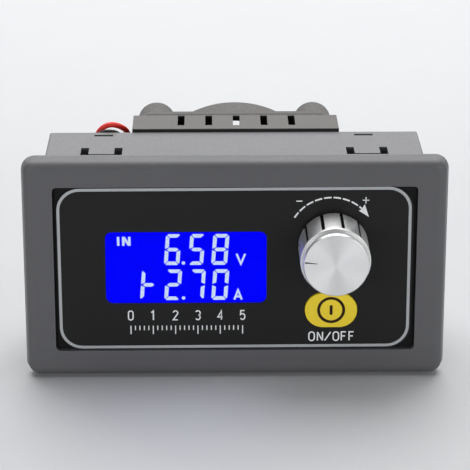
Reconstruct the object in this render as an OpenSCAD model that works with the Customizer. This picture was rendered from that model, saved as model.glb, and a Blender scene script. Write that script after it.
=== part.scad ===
// Panel-mounted DC electronic load: a snap-in bezel case with a display board behind the
// front panel, a power board in the back, and a finned heat sink with an axial fan on it.
// Units are millimetres. X runs to the right, Y into the case, Z up, and the origin is the
// centre of the seat behind the bezel, where the mounting panel lies.

/* [Case] */
// Width of the case behind the bezel, which passes through the panel cut-out
case_w = 71; // [70:0.5:76]
// Height of the case behind the bezel
case_h = 39; // [38.5:0.5:44]
// Depth of the case behind the panel seat
case_d = 20.6; // [20:0.1:24]
// Thickness of the case walls
wall = 1.6; // [1.2:0.1:1.8]
// Radius of the case's long edges
case_r = 0.4; // [0.3:0.1:1.2]

/* [Bezel] */
// How far the bezel reaches past the case at each side
bezel_side = 4; // [3:0.1:6]
// How far the bezel reaches past the case above and below
bezel_top = 2; // [1.5:0.1:4]
// Depth of the bezel from its front face to the panel seat
bezel_t = 3.2; // [2.9:0.1:4.5]
// Corner radius of the bezel's outline
bezel_r = 2.6; // [2.2:0.1:5]
// Radius of the bezel's rounded front edge
edge_r = 1; // [0.4:0.1:1.4]
// How far the bezel's sides slope inward towards the front
edge_drop = 0.5; // [0.2:0.1:0.6]
// Depth of the straight part of the bezel's sides before the slope
edge_start = 0.5; // [0.3:0.1:1]
// Width of the bezel's frame beside the window
rail_side = 5.75; // [5.6:0.05:7]
// Width of the bezel's frame above and below the window
rail_top = 5.3; // [5:0.05:6.5]
// Corner radius of the window
window_r = 0.8; // [0.3:0.1:1.5]
// Thickness of the bezel's front wall
lip_t = 1.5; // [1.2:0.1:1.8]

/* [Snaps and slots] */
// Distance of the board snaps from the middle of the case
snap_x = 25; // [24.5:0.1:26]
// Width of a board snap
snap_w = 4.8; // [3.5:0.1:5.5]
// Width of the slits beside a board snap
snap_slit = 1.5; // [1:0.1:1.8]
// Length of the slits beside a board snap
snap_l = 4.8; // [4.2:0.1:6]
// Opening in front of a board snap
snap_open = 0.9; // [0.5:0.1:1.2]
// Width of the slots that hold the power board's tabs
tab_slot_w = 3.6; // [3:0.1:5]
// Width of the spring arm on each short side that holds the panel
arm_w = 8; // [6:0.5:10]
// Length of a spring arm
arm_l = 11; // [9:0.5:12]
// Thickest panel that fits between the bezel and the spring arms
panel_max = 2.6; // [2.3:0.1:3]
// Height of the catch on a spring arm
catch_h = 0.9; // [0.5:0.1:1.4]

/* [Front panel] */
// Depth of the printed film behind the bezel's front face
film_recess = 0.7; // [0.5:0.05:0.9]
// Thickness of the printed film
film_t = 0.3; // [0.2:0.05:0.4]
// Gap between the film's edge and the window at each side
film_side = 0.6; // [0.2:0.05:1]
// Gap between the film's edge and the window above and below
film_top = 0.3; // [0.2:0.05:0.8]
// Corner radius of the film
film_r = 4.3; // [2:0.1:6]
// Thickness of the front panel's plate
panel_t = 1.2; // [1:0.1:1.6]
// Length of the pillars between the front panel and the display board
pillar_h = 5.75; // [5.6:0.05:6.2]
// Radius of the pillars
pillar_r = 2.1; // [1.8:0.1:2.3]

/* [Display] */
// Sideways place of the display's middle
lcd_x = -9.15; // [-10:0.05:-8.5]
// Height of the display's middle
lcd_z = 0.2; // [-0.5:0.05:0.5]
// Width of the display's visible area
view_w = 30; // [26:0.1:32]
// Height of the display's visible area
view_h = 14.1; // [12:0.1:15]
// Corner radius of the visible area
view_r = 1.3; // [0.4:0.1:2]
// How far the glass reaches past the visible area on each side
glass_rim = 2.6; // [2:0.1:2.8]
// Thickness of one of the display's two glass sheets
glass_t = 1.05; // [0.7:0.05:1.2]
// Thickness of the backlight block
light_t = 3.4; // [2.5:0.1:4]
// Number of contact pins along the display's lower edge
lcd_pin_count = 16; // [8:1:18]

/* [Knob and encoder] */
// Sideways place of the knob
knob_x = 18.2; // [17.6:0.1:18.8]
// Height of the knob's axis
knob_z = 4.65; // [4.2:0.05:5]
// Radius of the knob at its back edge
knob_r = 6.5; // [6.3:0.05:6.8]
// Radius of the knob at its front edge
knob_face_r = 6.45; // [6:0.05:6.6]
// Length of the knob
knob_l = 10.5; // [9:0.1:11]
// Gap between the knob and the film
knob_gap = 0.8; // [0.7:0.1:1.2]
// Number of grip grooves round the knob
groove_count = 11; // [7:1:16]
// Width of a grip groove
groove_w = 0.62; // [0.4:0.02:0.8]
// Depth of a grip groove
groove_d = 0.45; // [0.3:0.05:0.6]
// Radius of the encoder's shaft
shaft_r = 3; // [2.8:0.1:3]
// Radius of the encoder's bushing
bushing_r = 3.5; // [3.4:0.05:3.6]
// Length of the bushing in front of the encoder's body
bushing_l = 4.4; // [4:0.1:4.6]
// Width of the encoder's square body
encoder_w = 12; // [11.4:0.1:12.4]
// Travel of the knob when it is pushed in
knob_push = 0.5; // [0.3:0.05:0.5]

/* [Button] */
// Sideways place of the button
button_x = 18; // [17.6:0.1:18.6]
// Height of the button's middle above the case's underside
button_up = 11.15; // [10.7:0.05:11.2]
// Width of the button
button_w = 9.8; // [8:0.1:10.5]
// Height of the button
button_h = 6.8; // [6:0.1:7]
// How far the button stands out of the film
button_out = 0.3; // [0.3:0.05:0.6]
// Gap round the button
button_gap = 0.15; // [0.1:0.05:0.2]
// Travel of the button
button_push = 0.25; // [0.15:0.05:0.25]

/* [Boards] */
// Thickness of the display board
board_t = 1.6; // [1.2:0.1:1.7]
// Thickness of the power board
power_t = 1; // [0.8:0.1:1.2]
// Distance of the power board's back face inside the back edge of the case
board_inset = 1.4; // [1.2:0.1:1.6]
// Gap between a board's edge and the case
board_clear = 0.4; // [0.3:0.05:0.5]
// Sideways place of the board spacers
spacer_x = 18; // [17.5:0.5:18.5]
// Radius of the board spacers
spacer_r = 2.5; // [2.2:0.1:2.7]
// Number of pins in the connector between the boards
link_pins = 8; // [4:1:9]

/* [Heat sink] */
// Width and height of the heat sink
sink_w = 40; // [39:0.5:42]
// Sideways place of the heat sink and the fan behind it
sink_x = 0.4; // [-0.4:0.1:0.6]
// Depth of the heat sink, base and fins together
sink_d = 9; // [8.5:0.1:12]
// Thickness of the heat sink's base
sink_base = 2.3; // [2.2:0.1:3]
// Distance between the case's back edge and the heat sink
sink_gap = 0.8; // [0.6:0.1:1.4]
// Number of fins across the heat sink
fin_count = 11; // [8:1:13]
// Thickness of a fin
fin_t = 1.6; // [1:0.1:1.8]
// Distance between the cross cuts in the fins
cut_pitch = 5.4; // [4.5:0.1:5.6]
// Width of a cross cut
cut_w = 1.35; // [1:0.05:1.8]
// How far the middle cross cut lies from the heat sink's middle
cut_x = 0.2; // [0:0.05:0.3]
// Thickness of the thermal pad
pad_t = 0.3; // [0.2:0.05:0.5]

/* [Fan] */
// How far the fan's sides lie inside those of the heat sink
fan_step = 0.55; // [0.4:0.05:0.7]
// How far the fan's axis lies above the heat sink's middle
fan_z = 0.4; // [0:0.1:0.5]
// Depth of the fan
fan_d = 10; // [10:0.5:12]
// Distance of the fan's mounting holes from its sides
hole_inset = 3.45; // [3.3:0.05:3.6]
// Radius of the fan's corner posts
lobe_r = 3.7; // [3.4:0.1:4]
// How far the fan's ring and posts lie inside the flange's sides
flange_step = 0.1; // [0.05:0.05:0.3]
// Corner radius of the fan's flange
flange_r = 3; // [2.5:0.1:3.4]
// Thickness of the fan's flange
flange_t = 3.2; // [2.6:0.1:3.4]
// Thickness of the fan's duct where it is thinnest
duct_wall = 0.9; // [0.7:0.1:1.3]
// Radius of the fan's hub
hub_r = 10; // [9.6:0.1:10.4]
// Number of fan blades
blade_count = 7; // [5:1:9]
// Gap between the blade tips and the duct
tip_gap = 0.6; // [0.4:0.05:1]

/* [Connectors] */
// Distance of the input terminal from the case's side wall
terminal_inset = 1.9; // [1.7:0.1:2.3]
// Distance between the terminal's two poles
pole_pitch = 5.08; // [5:0.02:5.2]
// Height of the terminal block above the power board
terminal_h = 10; // [9.5:0.1:11]
// How far a terminal's cage rises when its screw is tightened
cage_lift = 2; // [1:0.1:2]
// Sideways place of the serial connector
serial_x = -26.5; // [-27:0.1:-26.4]
// Height of the serial connector's middle
serial_z = -8.5; // [-9:0.1:-8]
// Number of pins in the serial connector
serial_pins = 4; // [2:1:4]

/* [Hidden] */
$fn = 48;
eps = 0.5;
bezel_w = case_w + 2*bezel_side;
bezel_h = case_h + 2*bezel_top;
window_w = bezel_w - 2*rail_side;
window_h = bezel_h - 2*rail_top;
cavity_w = case_w - 2*wall;
cavity_h = case_h - 2*wall;
board_w = cavity_w - 2*board_clear;
board_h = cavity_h - 2*board_clear;
board_corner = 0.6;

// Depths of the layers, from the front to the back
y_face = -bezel_t;
y_film = y_face + film_recess;
y_plateau = y_film + film_t;
y_lip = y_face + lip_t;
y_panel = y_lip + panel_t;
y_board = y_panel + pillar_h;
y_board_back = y_board + board_t;
y_power_back = case_d - board_inset;
y_power = y_power_back - power_t;
y_sink = case_d + sink_gap;
y_fins = y_sink + sink_base;
y_fan = y_sink + sink_d;
y_fan_back = y_fan + fan_d;

// Small clearances and screw sizes that several pieces share
slip = 0.05;
fit_gap = 0.2;
m3_r = 1.45;
m3_hole_r = 1.5;
m3_clear_r = 1.7;
m3_head_r = 2.75;
m3_head_h = 1.8;
m2_r = 0.95;
m2_hole_r = 1;
m2_clear_r = 1.15;
m2_head_r = 1.9;
m2_head_h = 1.3;

// Film, panel and display
film_w = window_w - 2*film_side;
film_h = window_h - 2*film_top;
plate_w = cavity_w - 2*fit_gap;
plate_h = cavity_h - 2*fit_gap;
glass_w = view_w + 2*glass_rim;
glass_h = view_h + 2*glass_rim;
glass_ledge = 1.6;
lcd_pin_t = 0.4;
lcd_pin_room = 1.1;
y_glass_back = y_plateau + 2*glass_t;
y_light_back = y_glass_back + light_t;
pillar_x = board_w/2 - 3;
pillar_z = board_h/2 - 3.6;
screw_depth = 4;

// Encoder and knob
bushing_hole_r = bushing_r + fit_gap;
y_bushing = y_panel - bushing_l;
y_knob_back = y_film - knob_gap;
y_knob_face = y_knob_back - knob_l;
knob_skin = 1.3;
insert_r = knob_r - knob_skin - groove_d;
insert_bore_r = bushing_r + 0.7;
y_insert_step = y_bushing - knob_push - 0.4;
y_shaft_end = y_knob_face + 1.9;
y_shaft_root = y_panel + 1.9;
plunger_l = 2.3;
encoder_floor = 0.6;
flat_depth = 0.8;
step_w = 0.6;
step_h = 2.05;
rim_bevel = 0.15;
neck_r = knob_face_r - step_w;
disc_r = neck_r + 0.15;
disc_t = 0.75;
disc_bevel_w = 0.2;
disc_bevel_d = 0.3;
groove_end = step_h + 0.55;
mark_l = 2.65;
mark_w = 0.3;
mark_tip_w = 0.1;
mark_r = disc_r + slip;
mark_d = 0.2;
mark_turn = 6;

// Button and its switch
button_z = button_up - case_h/2;
button_flange = 0.9;
button_flange_t = 0.75;
switch_w = 6;
switch_h = 3.4;
switch_plunger_r = 1.7;
y_switch = y_board - switch_h;
y_flange = y_panel + slip;
y_stem = y_switch - 0.9;

// Power board
power_tab = wall - 0.3;
spacer_z = board_h/2 - 4;
spacer_tip_r = 1.45;
spacer_head_r = 1.85;
spacer_head_h = 0.8;
link_x = -board_w/2 + 3.5;
link_pitch = 2;
link_end = 0.25;
link_floor = 2;
link_pin_gap = 3;
link_w = 2.5;
link_base_h = 2.5;
link_pin_w = 0.6;

// Chips on both boards, and the resistors and capacitors on the power board
cpu_x = -6;
cpu_z = 1;
cpu_w = 7;
cpu_t = 1.4;
cpu_legs = 8;
driver_x = 8;
driver_z = 6;
driver_w = 4;
driver_h = 5;
driver_t = 1.5;
driver_legs = 4;
amp_x = 12;
amp_z = 4;
regulator_x = 14;
regulator_z = 2;
regulator_w = 3.5;
regulator_h = 6.5;
regulator_t = 1.7;
regulator_legs = 3;
shunt_x = 24;
shunt_z = 11.2;
shunt_pitch = 3.8;
shunt_w = 6.4;
shunt_h = 3.2;
shunt_t = 0.7;
can_x = 26;
can_z = 2;
can_pitch = 8;
can_r = 3.15;
can_h = 8;
can_groove_h = 0.8;
can_groove_d = 0.25;

// Power transistor, lying with its tab on the thermal pad
fet_w = 10.2;
fet_body_h = 9;
fet_tab_h = 6.4;
fet_t = 4.5;
fet_tab_t = 1.3;
fet_z = 3.5;
fet_hole_z = fet_z + 3.4;
fet_lead_pitch = 2.54;
fet_lead_w = 0.8;
fet_lead_t = 0.5;
y_tab = y_sink - pad_t;
y_fet_lead = y_tab - 2.75;
sink_screw_x = 12;
sink_screw_z = 10;
sink_spacer_r = 3;

// Fan
fan_w = sink_w - 2*fan_step;
fan_hole = fan_w/2 - hole_inset;
lobe_at = fan_w/2 - flange_step - lobe_r;
ring_r = fan_w/2 - flange_step;
duct_r = ring_r - duct_wall;
motor_r = hub_r - 0.5;
motor_t = 1.8;
strut_w = 2.2;
strut_t = 1.4;
strut_step = 0.2;
strut_count = 4;
strut_turn = 200;
lead_strut_w = 4.6;
channel_w = 3;
channel_t = 1.2;
tube_r = 3.2;
tube_bore_r = 2.3;
fan_shaft_r = 1;
hub_wall = 1;
magnet_t = 1;
magnet_r = hub_r - hub_wall - slip;
stator_r = magnet_r - magnet_t - 0.5;
y_hub = y_fan + motor_t + 0.5;
y_hub_back = y_fan_back - 0.5;
y_tube_end = y_hub_back - hub_wall - 0.6;
blade_tip_r = duct_r - tip_gap;
blade_t = 0.8;
blade_arc_r = 10;
blade_inlet = 62;
blade_outlet = 15;
blade_axial = blade_arc_r*(sin(blade_inlet) - sin(blade_outlet));

// Input terminal and the connectors on the power board
pole_w = pole_pitch;
terminal_w = 7.6;
terminal_x = case_w/2 - wall - terminal_inset - terminal_w/2;
cage_w = 3.5;
cage_l = 4.2;
cage_wall = 0.45;
cage_roof = 0.9;
cage_floor_y = y_power_back + 0.9;
shaft_gap = 0.15;
bar_t = 0.8;
cage_h = cage_lift + cage_wall + cage_roof + bar_t + 0.2;
clamp_screw_r = 1.2;
clamp_head_r = 1.85;
clamp_head_h = 1.5;
slot_w = 0.6;
y_cage_top = cage_floor_y + cage_h;
y_bar = y_cage_top - cage_roof - bar_t - 0.1;
y_clamp_head = y_cage_top + cage_lift + 0.2;
y_terminal = y_power_back + terminal_h;
serial_pitch = 2.5;
serial_end = 1.2;
serial_w = 5.7;
serial_wall = 0.8;
serial_floor = 1.2;
serial_top = y_power_back + 7;
plug_x = sink_x - sink_w/2 - 7.4;
plug_y = y_power_back + 3.2;
plug_pitch = 2;
plug_w = 4;
plug_l = 4.6;
plug_z0 = 6;
plug_z1 = 13;
header_z0 = 4;
header_z1 = 10;
header_wall = 0.8;
lead_r = 0.55;

// Routes of the fan's two leads: up from the plug, over, down beside the heat sink and along the strut
lead_side_x = sink_x - sink_w/2 - 0.9;
lead_y = y_fan + channel_t/2;
lead_half_gap = 0.7;
function strut_point(r, off) =
    [sink_x + r*cos(strut_turn) + off*sin(strut_turn), lead_y, fan_z + off*cos(strut_turn) - r*sin(strut_turn)];
lead_end_r = motor_r + 1.5;
function strut_route(off) = [for (i = [0:4]) strut_point(ring_r - i*(ring_r - lead_end_r)/4, off)];
red_z = strut_point(ring_r, -lead_half_gap)[2];
black_z = strut_point(ring_r, lead_half_gap)[2];
red_y = plug_y + plug_pitch/2;
black_y = plug_y - plug_pitch/2;
lead_red_route = concat([
    [plug_x, red_y, plug_z1], [plug_x, red_y, plug_z1 + 1.6], [plug_x + 0.1, red_y, plug_z1 + 3.2],
    [plug_x + 0.4, red_y, plug_z1 + 4.7], [plug_x + 1, red_y, plug_z1 + 5.95],
    [plug_x + 1.9, red_y, plug_z1 + 6.8], [plug_x + 3, red_y + 0.2, plug_z1 + 7.15],
    [lead_side_x - 2.4, red_y + 0.7, plug_z1 + 6.95], [lead_side_x - 1.4, red_y + 1.6, plug_z1 + 6.3],
    [lead_side_x - 0.65, red_y + 2.6, plug_z1 + 5.45], [lead_side_x - 0.2, red_y + 3.5, plug_z1 + 4.4],
    [lead_side_x, red_y + 4.1, plug_z1 + 3], [lead_side_x, red_y + 4.5, plug_z1 + 1.5],
    [lead_side_x - 0.2, y_fan - 2.3, red_z + 5.4], [lead_side_x - 0.75, y_fan - 1.9, red_z + 4],
    [lead_side_x - 1.2, y_fan - 1.2, red_z + 2.8], [lead_side_x - 1.05, y_fan - 0.5, red_z + 1.8],
    [lead_side_x - 0.4, y_fan + 0.2, red_z + 1.1], [lead_side_x + 0.7, lead_y, red_z + 0.5]],
    strut_route(-lead_half_gap));
lead_black_route = concat([
    [plug_x, black_y, plug_z1], [plug_x, black_y, plug_z1 + 2], [plug_x, black_y, plug_z1 + 3.6],
    [plug_x + 0.3, black_y, plug_z1 + 4.9], [plug_x + 1.05, black_y, plug_z1 + 5.85],
    [plug_x + 2.15, black_y, plug_z1 + 6.25], [plug_x + 3.3, black_y + 0.05, plug_z1 + 6.3],
    [lead_side_x - 2.4, black_y + 0.2, plug_z1 + 6.1], [lead_side_x - 1.6, black_y + 0.5, plug_z1 + 5.5],
    [lead_side_x - 1, black_y + 0.9, plug_z1 + 4.6], [lead_side_x - 0.65, black_y + 1.4, plug_z1 + 3.3],
    [lead_side_x - 0.5, black_y + 1.9, plug_z1 + 1.8], [lead_side_x - 0.4, black_y + 2.5, plug_z1 + 0.2],
    [lead_side_x - 0.4, y_fan - 5.7, black_z + 4.9], [lead_side_x - 0.8, y_fan - 3.9, black_z + 3.2],
    [lead_side_x - 1.3, y_fan - 2.2, black_z + 2.1], [lead_side_x - 1.1, y_fan - 0.8, black_z + 1.3],
    [lead_side_x - 0.4, y_fan + 0.2, black_z + 0.8], [lead_side_x + 0.6, lead_y, black_z + 0.45]],
    strut_route(lead_half_gap));

// Colours
case_grey = [0.36, 0.36, 0.38];
panel_black = [0.05, 0.05, 0.055];
film_black = [0.12, 0.12, 0.12];
lcd_blue = [0.02, 0.05, 0.95];
board_green = [0.05, 0.25, 0.12];
metal = [0.75, 0.75, 0.76];
dark_metal = [0.3, 0.3, 0.31];
fan_grey = [0.4, 0.39, 0.38];
sink_grey = [0.5, 0.48, 0.47];
chip_black = [0.08, 0.08, 0.08];
brass = [0.8, 0.65, 0.3];
nylon = [0.9, 0.9, 0.86];

// Solid with its outline in X and Z, between two depths
module slab(y0, y1) {
    translate([0, y1, 0]) rotate([90, 0, 0]) linear_extrude(y1 - y0) children();
}

// Round bar along the depth
module rod(r, y0, y1) {
    translate([0, y1, 0]) rotate([90, 0, 0]) cylinder(r = r, h = y1 - y0);
}

// Box centred in X and Z, between two depths
module bar(w, h, y0, y1) {
    translate([-w/2, y0, -h/2]) cube([w, y1 - y0, h]);
}

module at(x, z) {
    translate([x, 0, z]) children();
}

// Copies at the four corners of a rectangle
module corners(x, z) {
    for (sx = [-1, 1], sz = [-1, 1]) at(sx*x, sz*z) children();
}

// Copies mirrored to the left and right, or above and below
module both_sides() {
    for (side = [0, 1]) mirror([side, 0, 0]) children();
}

module top_and_bottom() {
    for (side = [0, 1]) mirror([0, 0, side]) children();
}

module rounded_rect(w, h, r) {
    square([w - 2*r, h], center = true);
    square([w, h - 2*r], center = true);
    for (sx = [-1, 1], sz = [-1, 1]) translate([sx*(w/2 - r), sz*(h/2 - r)]) circle(r);
}

module stadium(w, h) {
    square([w - h, h], center = true);
    for (sx = [-1, 1]) translate([sx*(w - h)/2, 0]) circle(h/2);
}

// Section of the bezel's rim: flat on the seat side, rounded towards the front
module rim_section() {
    side = bezel_r - edge_drop;
    square([side - edge_r, bezel_t]);
    polygon([[0, 0], [bezel_r, 0], [bezel_r, edge_start], [side, bezel_t - edge_r], [0, bezel_t - edge_r]]);
    translate([side - edge_r, bezel_t - edge_r]) circle(edge_r);
}

module rim_bar(length) {
    mirror([0, 1, 0]) linear_extrude(length, center = true) rim_section();
}

// Slab of the bezel with rounded corners and a rounded front edge
module bezel_slab() {
    flat_w = bezel_w - 2*bezel_r;
    flat_h = bezel_h - 2*bezel_r;
    bar(flat_w, flat_h, y_face, 0);
    both_sides() translate([flat_w/2, 0, 0]) rim_bar(flat_h);
    top_and_bottom() translate([0, 0, flat_h/2]) rotate([0, -90, 0]) rim_bar(flat_w);
    both_sides() top_and_bottom() translate([flat_w/2, 0, flat_h/2])
        rotate([90, 0, 0]) rotate_extrude(angle = 90) rim_section();
}

// Slits that free a board snap from the top wall, open towards the display board
module snap_slits() {
    front = y_board_back - snap_open;
    translate([snap_x, 0, cavity_h/2 + wall/2]) {
        for (sx = [-1, 1]) translate([sx*(snap_w + snap_slit)/2, 0, 0])
            bar(snap_slit, 2*wall, front, front + snap_l);
        bar(snap_w + eps, 2*wall, front, y_board_back + slip);
    }
}

// Hook on the inside of a board snap, behind the display board's edge
module snap_hook() {
    hook = board_clear + 0.6;
    translate([snap_x - snap_w/2, y_board_back + slip, cavity_h/2])
        rotate([90, 0, 90]) linear_extrude(snap_w)
            polygon([[0, eps], [0, -hook], [0.5, -hook], [snap_l/2, 0], [snap_l/2, eps]]);
}

// Slot in the top wall that takes a tab of the power board
module tab_slot() {
    translate([snap_x, 0, cavity_h/2 + wall/2])
        bar(tab_slot_w, 2*wall, y_power - slip, y_power_back + slip);
}

// Slits that free a spring arm from the right-hand wall
module arm_slits() {
    slit = 1;
    translate([case_w/2 - wall/2, 0, 0]) {
        for (sz = [-1, 1]) translate([0, 0, sz*(arm_w + slit)/2])
            bar(2*wall, slit, panel_max - slit, panel_max + arm_l);
        bar(2*wall, arm_w + eps, panel_max - slit, panel_max);
    }
}

// Ramp on a spring arm, with its steep side towards the bezel
module arm_catch() {
    translate([case_w/2, panel_max, 0]) linear_extrude(arm_w - 1, center = true)
        polygon([[-wall/2, 0], [catch_h, 0], [catch_h, 0.6], [0, arm_l/2], [-wall/2, arm_l/2]]);
}

module housing() color(case_grey) {
    difference() {
        union() {
            bezel_slab();
            slab(-eps, case_d) rounded_rect(case_w, case_h, case_r);
            both_sides() arm_catch();
        }
        slab(y_face - eps, y_lip + eps) rounded_rect(window_w, window_h, window_r);
        slab(y_lip, case_d + eps) rounded_rect(cavity_w, cavity_h, case_r/2);
        both_sides() top_and_bottom() snap_slits();
        both_sides() top_and_bottom() tab_slot();
        both_sides() arm_slits();
    }
    both_sides() top_and_bottom() snap_hook();
}

// Holes that the front panel and the film share: the encoder's bushing and the button
module control_holes() {
    translate([knob_x, knob_z]) circle(bushing_hole_r);
    translate([button_x, button_z]) stadium(button_w + 2*button_gap, button_h + 2*button_gap);
}

module front_panel() color(panel_black) difference() {
    union() {
        slab(y_lip, y_panel) rounded_rect(plate_w, plate_h, case_r/2);
        slab(y_plateau, y_lip + slip) rounded_rect(window_w - 2*fit_gap, window_h - 2*fit_gap, window_r);
        corners(pillar_x, pillar_z) rod(pillar_r, y_panel - slip, y_board);
    }
    slab(y_film - eps, y_panel + eps) {
        control_holes();
        translate([lcd_x, lcd_z - lcd_pin_room/2])
            square([glass_w + 2*fit_gap, glass_h + 2*fit_gap + lcd_pin_room], center = true);
    }
    corners(pillar_x, pillar_z) rod(m2_hole_r, y_board - screw_depth, y_board + eps);
}

module panel_overlay() color(film_black) slab(y_film, y_plateau) difference() {
    rounded_rect(film_w, film_h, film_r);
    control_holes();
    translate([lcd_x, lcd_z]) rounded_rect(view_w, view_h, view_r);
}

module display_window() color([0.7, 0.8, 1, 0.3])
    at(lcd_x, lcd_z) slab(y_film, y_plateau)
        rounded_rect(view_w - 2*slip, view_h - 2*slip, view_r - slip);

// Two glass sheets; the back one is longer, and its lower ledge takes the contact pins
module lcd_glass() color(lcd_blue) at(lcd_x, lcd_z) {
    translate([0, 0, glass_ledge/2]) bar(glass_w, glass_h - glass_ledge, y_plateau, y_plateau + glass_t);
    bar(glass_w, glass_h, y_plateau + glass_t, y_glass_back);
}

module lcd_backlight() color("white") at(lcd_x, lcd_z) {
    leg = 2;
    bar(glass_w, glass_h, y_glass_back, y_light_back);
    corners(glass_w/2 - leg/2, glass_h/2 - leg/2) bar(leg, leg, y_light_back - slip, y_board);
}

// Pins clipped over the glass ledge and running back to the display board
module lcd_pins() color(metal) {
    pitch = (glass_w - 4)/(lcd_pin_count - 1);
    ledge = lcd_z - glass_h/2;
    for (i = [0:lcd_pin_count - 1]) translate([lcd_x - glass_w/2 + 2 + i*pitch, 0, ledge]) {
        translate([0, 0, -lcd_pin_t/2 - slip])
            bar(lcd_pin_t, lcd_pin_t, y_plateau + glass_t - lcd_pin_t, y_board);
        translate([0, 0, glass_ledge/4 - lcd_pin_t/2])
            bar(lcd_pin_t, glass_ledge/2 + lcd_pin_t, y_plateau + glass_t - lcd_pin_t, y_plateau + glass_t);
    }
}

module display_board() color(board_green) difference() {
    slab(y_board, y_board_back) rounded_rect(board_w, board_h, board_corner);
    corners(pillar_x, pillar_z) rod(m2_clear_r, y_board - eps, y_board_back + eps);
    corners(spacer_x, spacer_z) rod(spacer_tip_r + slip, y_board - eps, y_board_back + eps);
}

// Square chip package with its legs along two sides
module chip(w, h, t, legs, y) {
    leg_pitch = h/(legs + 1);
    bar(w, h, y + 0.1, y + t);
    for (sx = [-1, 1], i = [1:legs]) translate([sx*(w/2 + 0.35), 0, -h/2 + i*leg_pitch])
        bar(0.8, leg_pitch/2, y, y + t/2);
}

module display_board_chips() color(chip_black) {
    at(cpu_x, cpu_z) chip(cpu_w, cpu_w, cpu_t, cpu_legs, y_board_back);
    for (s = [-1, 1]) at(driver_x, s*driver_z) chip(driver_w, driver_h, driver_t, driver_legs, y_board_back);
}

// Pan-head screw pointing to the front, with its head on a face at depth y
module screw_forward(r, length, head_r, head_h, y) {
    drive = 0.5;
    rod(r, y - length, y + slip);
    difference() {
        rod(head_r, y, y + head_h);
        bar(head_r, drive, y + head_h - drive, y + head_h + eps);
        bar(drive, head_r, y + head_h - drive, y + head_h + eps);
    }
}

// The same screw pointing to the back
module screw_backward(r, length, head_r, head_h, y) {
    translate([0, 2*y, 0]) mirror([0, 1, 0]) screw_forward(r, length, head_r, head_h, y);
}

module display_board_screws() color(dark_metal) corners(pillar_x, pillar_z)
    screw_forward(m2_r, board_t + screw_depth - 0.5, m2_head_r, m2_head_h, y_board_back);

// Encoder body between the front panel and the display board, bored for the shaft
module encoder_body() color(dark_metal) at(knob_x, knob_z) difference() {
    bar(encoder_w, encoder_w, y_panel, y_board);
    rod(shaft_r + slip, y_panel - eps, y_board - encoder_floor);
}

module encoder_bushing() color(metal) at(knob_x, knob_z) difference() {
    rod(bushing_r, y_bushing, y_panel);
    rod(shaft_r + slip, y_bushing - eps, y_panel + eps);
}

module encoder_plunger() color("ivory") at(knob_x, knob_z)
    rod(shaft_r, y_shaft_root, y_shaft_root + plunger_l);

module encoder_shaft() color(metal) at(knob_x, knob_z) difference() {
    rod(shaft_r, y_shaft_end, y_shaft_root);
    translate([0, 0, shaft_r]) bar(2*shaft_r, 2*flat_depth, y_shaft_end - eps, y_insert_step);
}

// Half section of the knob's metal shell, with X as the radius and Y as the height above its back edge
module knob_section() {
    polygon([
        [insert_r + slip, 0], [knob_r, 0], [knob_face_r, knob_l - step_h - rim_bevel],
        [knob_face_r - rim_bevel, knob_l - step_h], [neck_r, knob_l - step_h], [neck_r, knob_l - disc_t],
        [disc_r, knob_l - disc_t], [disc_r, knob_l - disc_bevel_d], [disc_r - disc_bevel_w, knob_l],
        [0, knob_l], [0, knob_l - knob_skin], [insert_r + slip, knob_l - knob_skin]]);
}

module knob() color(metal) at(knob_x, knob_z) difference() {
    translate([0, y_knob_back, 0]) rotate([90, 0, 0]) rotate_extrude() knob_section();
    for (i = [0:groove_count - 1]) rotate([0, (i + 0.37)*360/groove_count, 0])
        translate([0, 0, knob_r]) bar(groove_w, 2*groove_d, y_knob_face + groove_end, y_knob_back + eps);
    rotate([0, mark_turn, 0]) slab(y_knob_face - eps, y_knob_face + mark_d) polygon([
        [-mark_r, -mark_w/2], [mark_l - mark_r, -mark_tip_w/2], [mark_l - mark_r, mark_tip_w/2], [-mark_r, mark_w/2]]);
}

// Plastic core of the knob: hollow round the bushing, and a bore with a flat for the shaft
module knob_insert() color(chip_black) at(knob_x, knob_z) difference() {
    rod(insert_r, y_knob_face + knob_skin, y_knob_back);
    rod(insert_bore_r, y_insert_step, y_knob_back + eps);
    difference() {
        rod(shaft_r + slip/2, y_knob_face + knob_skin + slip, y_insert_step + eps);
        translate([0, 0, shaft_r + slip])
            bar(2*shaft_r + eps, 2*flat_depth, y_knob_face, y_insert_step);
    }
}

module power_button() color([0.86, 0.76, 0.16]) at(button_x, button_z) {
    slab(y_film - button_out, y_flange + slip) stadium(button_w, button_h);
    slab(y_flange, y_flange + button_flange_t)
        stadium(button_w + 2*button_flange, button_h + 2*button_flange);
    rod(switch_plunger_r, y_flange + button_flange_t - slip, y_stem);
}

module switch_body() color(chip_black) at(button_x, button_z) difference() {
    bar(switch_w, switch_w, y_switch, y_board);
    rod(switch_plunger_r + slip, y_switch - eps, y_switch + 1.2);
}

module switch_plunger() color([0.9, 0.88, 0.82]) at(button_x, button_z)
    rod(switch_plunger_r, y_stem, y_switch + 1.2 - button_push - 0.15);

// Nylon spacer with a snap tip through each board
module board_spacers() color(nylon) corners(spacer_x, spacer_z) {
    rod(spacer_r, y_board_back, y_power);
    rod(spacer_tip_r, y_board - spacer_head_h, y_power_back + spacer_head_h);
    rod(spacer_head_r, y_board - spacer_head_h, y_board);
    rod(spacer_head_r, y_power_back, y_power_back + spacer_head_h);
}

// Copies of a connector pin along Z, at the link's pitch
module link_row() {
    for (i = [0:link_pins - 1]) at(link_x, (i - (link_pins - 1)/2)*link_pitch) children();
}

module link_socket() color(chip_black) difference() {
    at(link_x, 0) bar(link_w, link_pins*link_pitch + 2*link_end, y_board_back, y_power - link_base_h);
    link_row() bar(link_pin_w + fit_gap, link_pin_w + fit_gap, y_board_back + link_floor, y_power);
}

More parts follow.
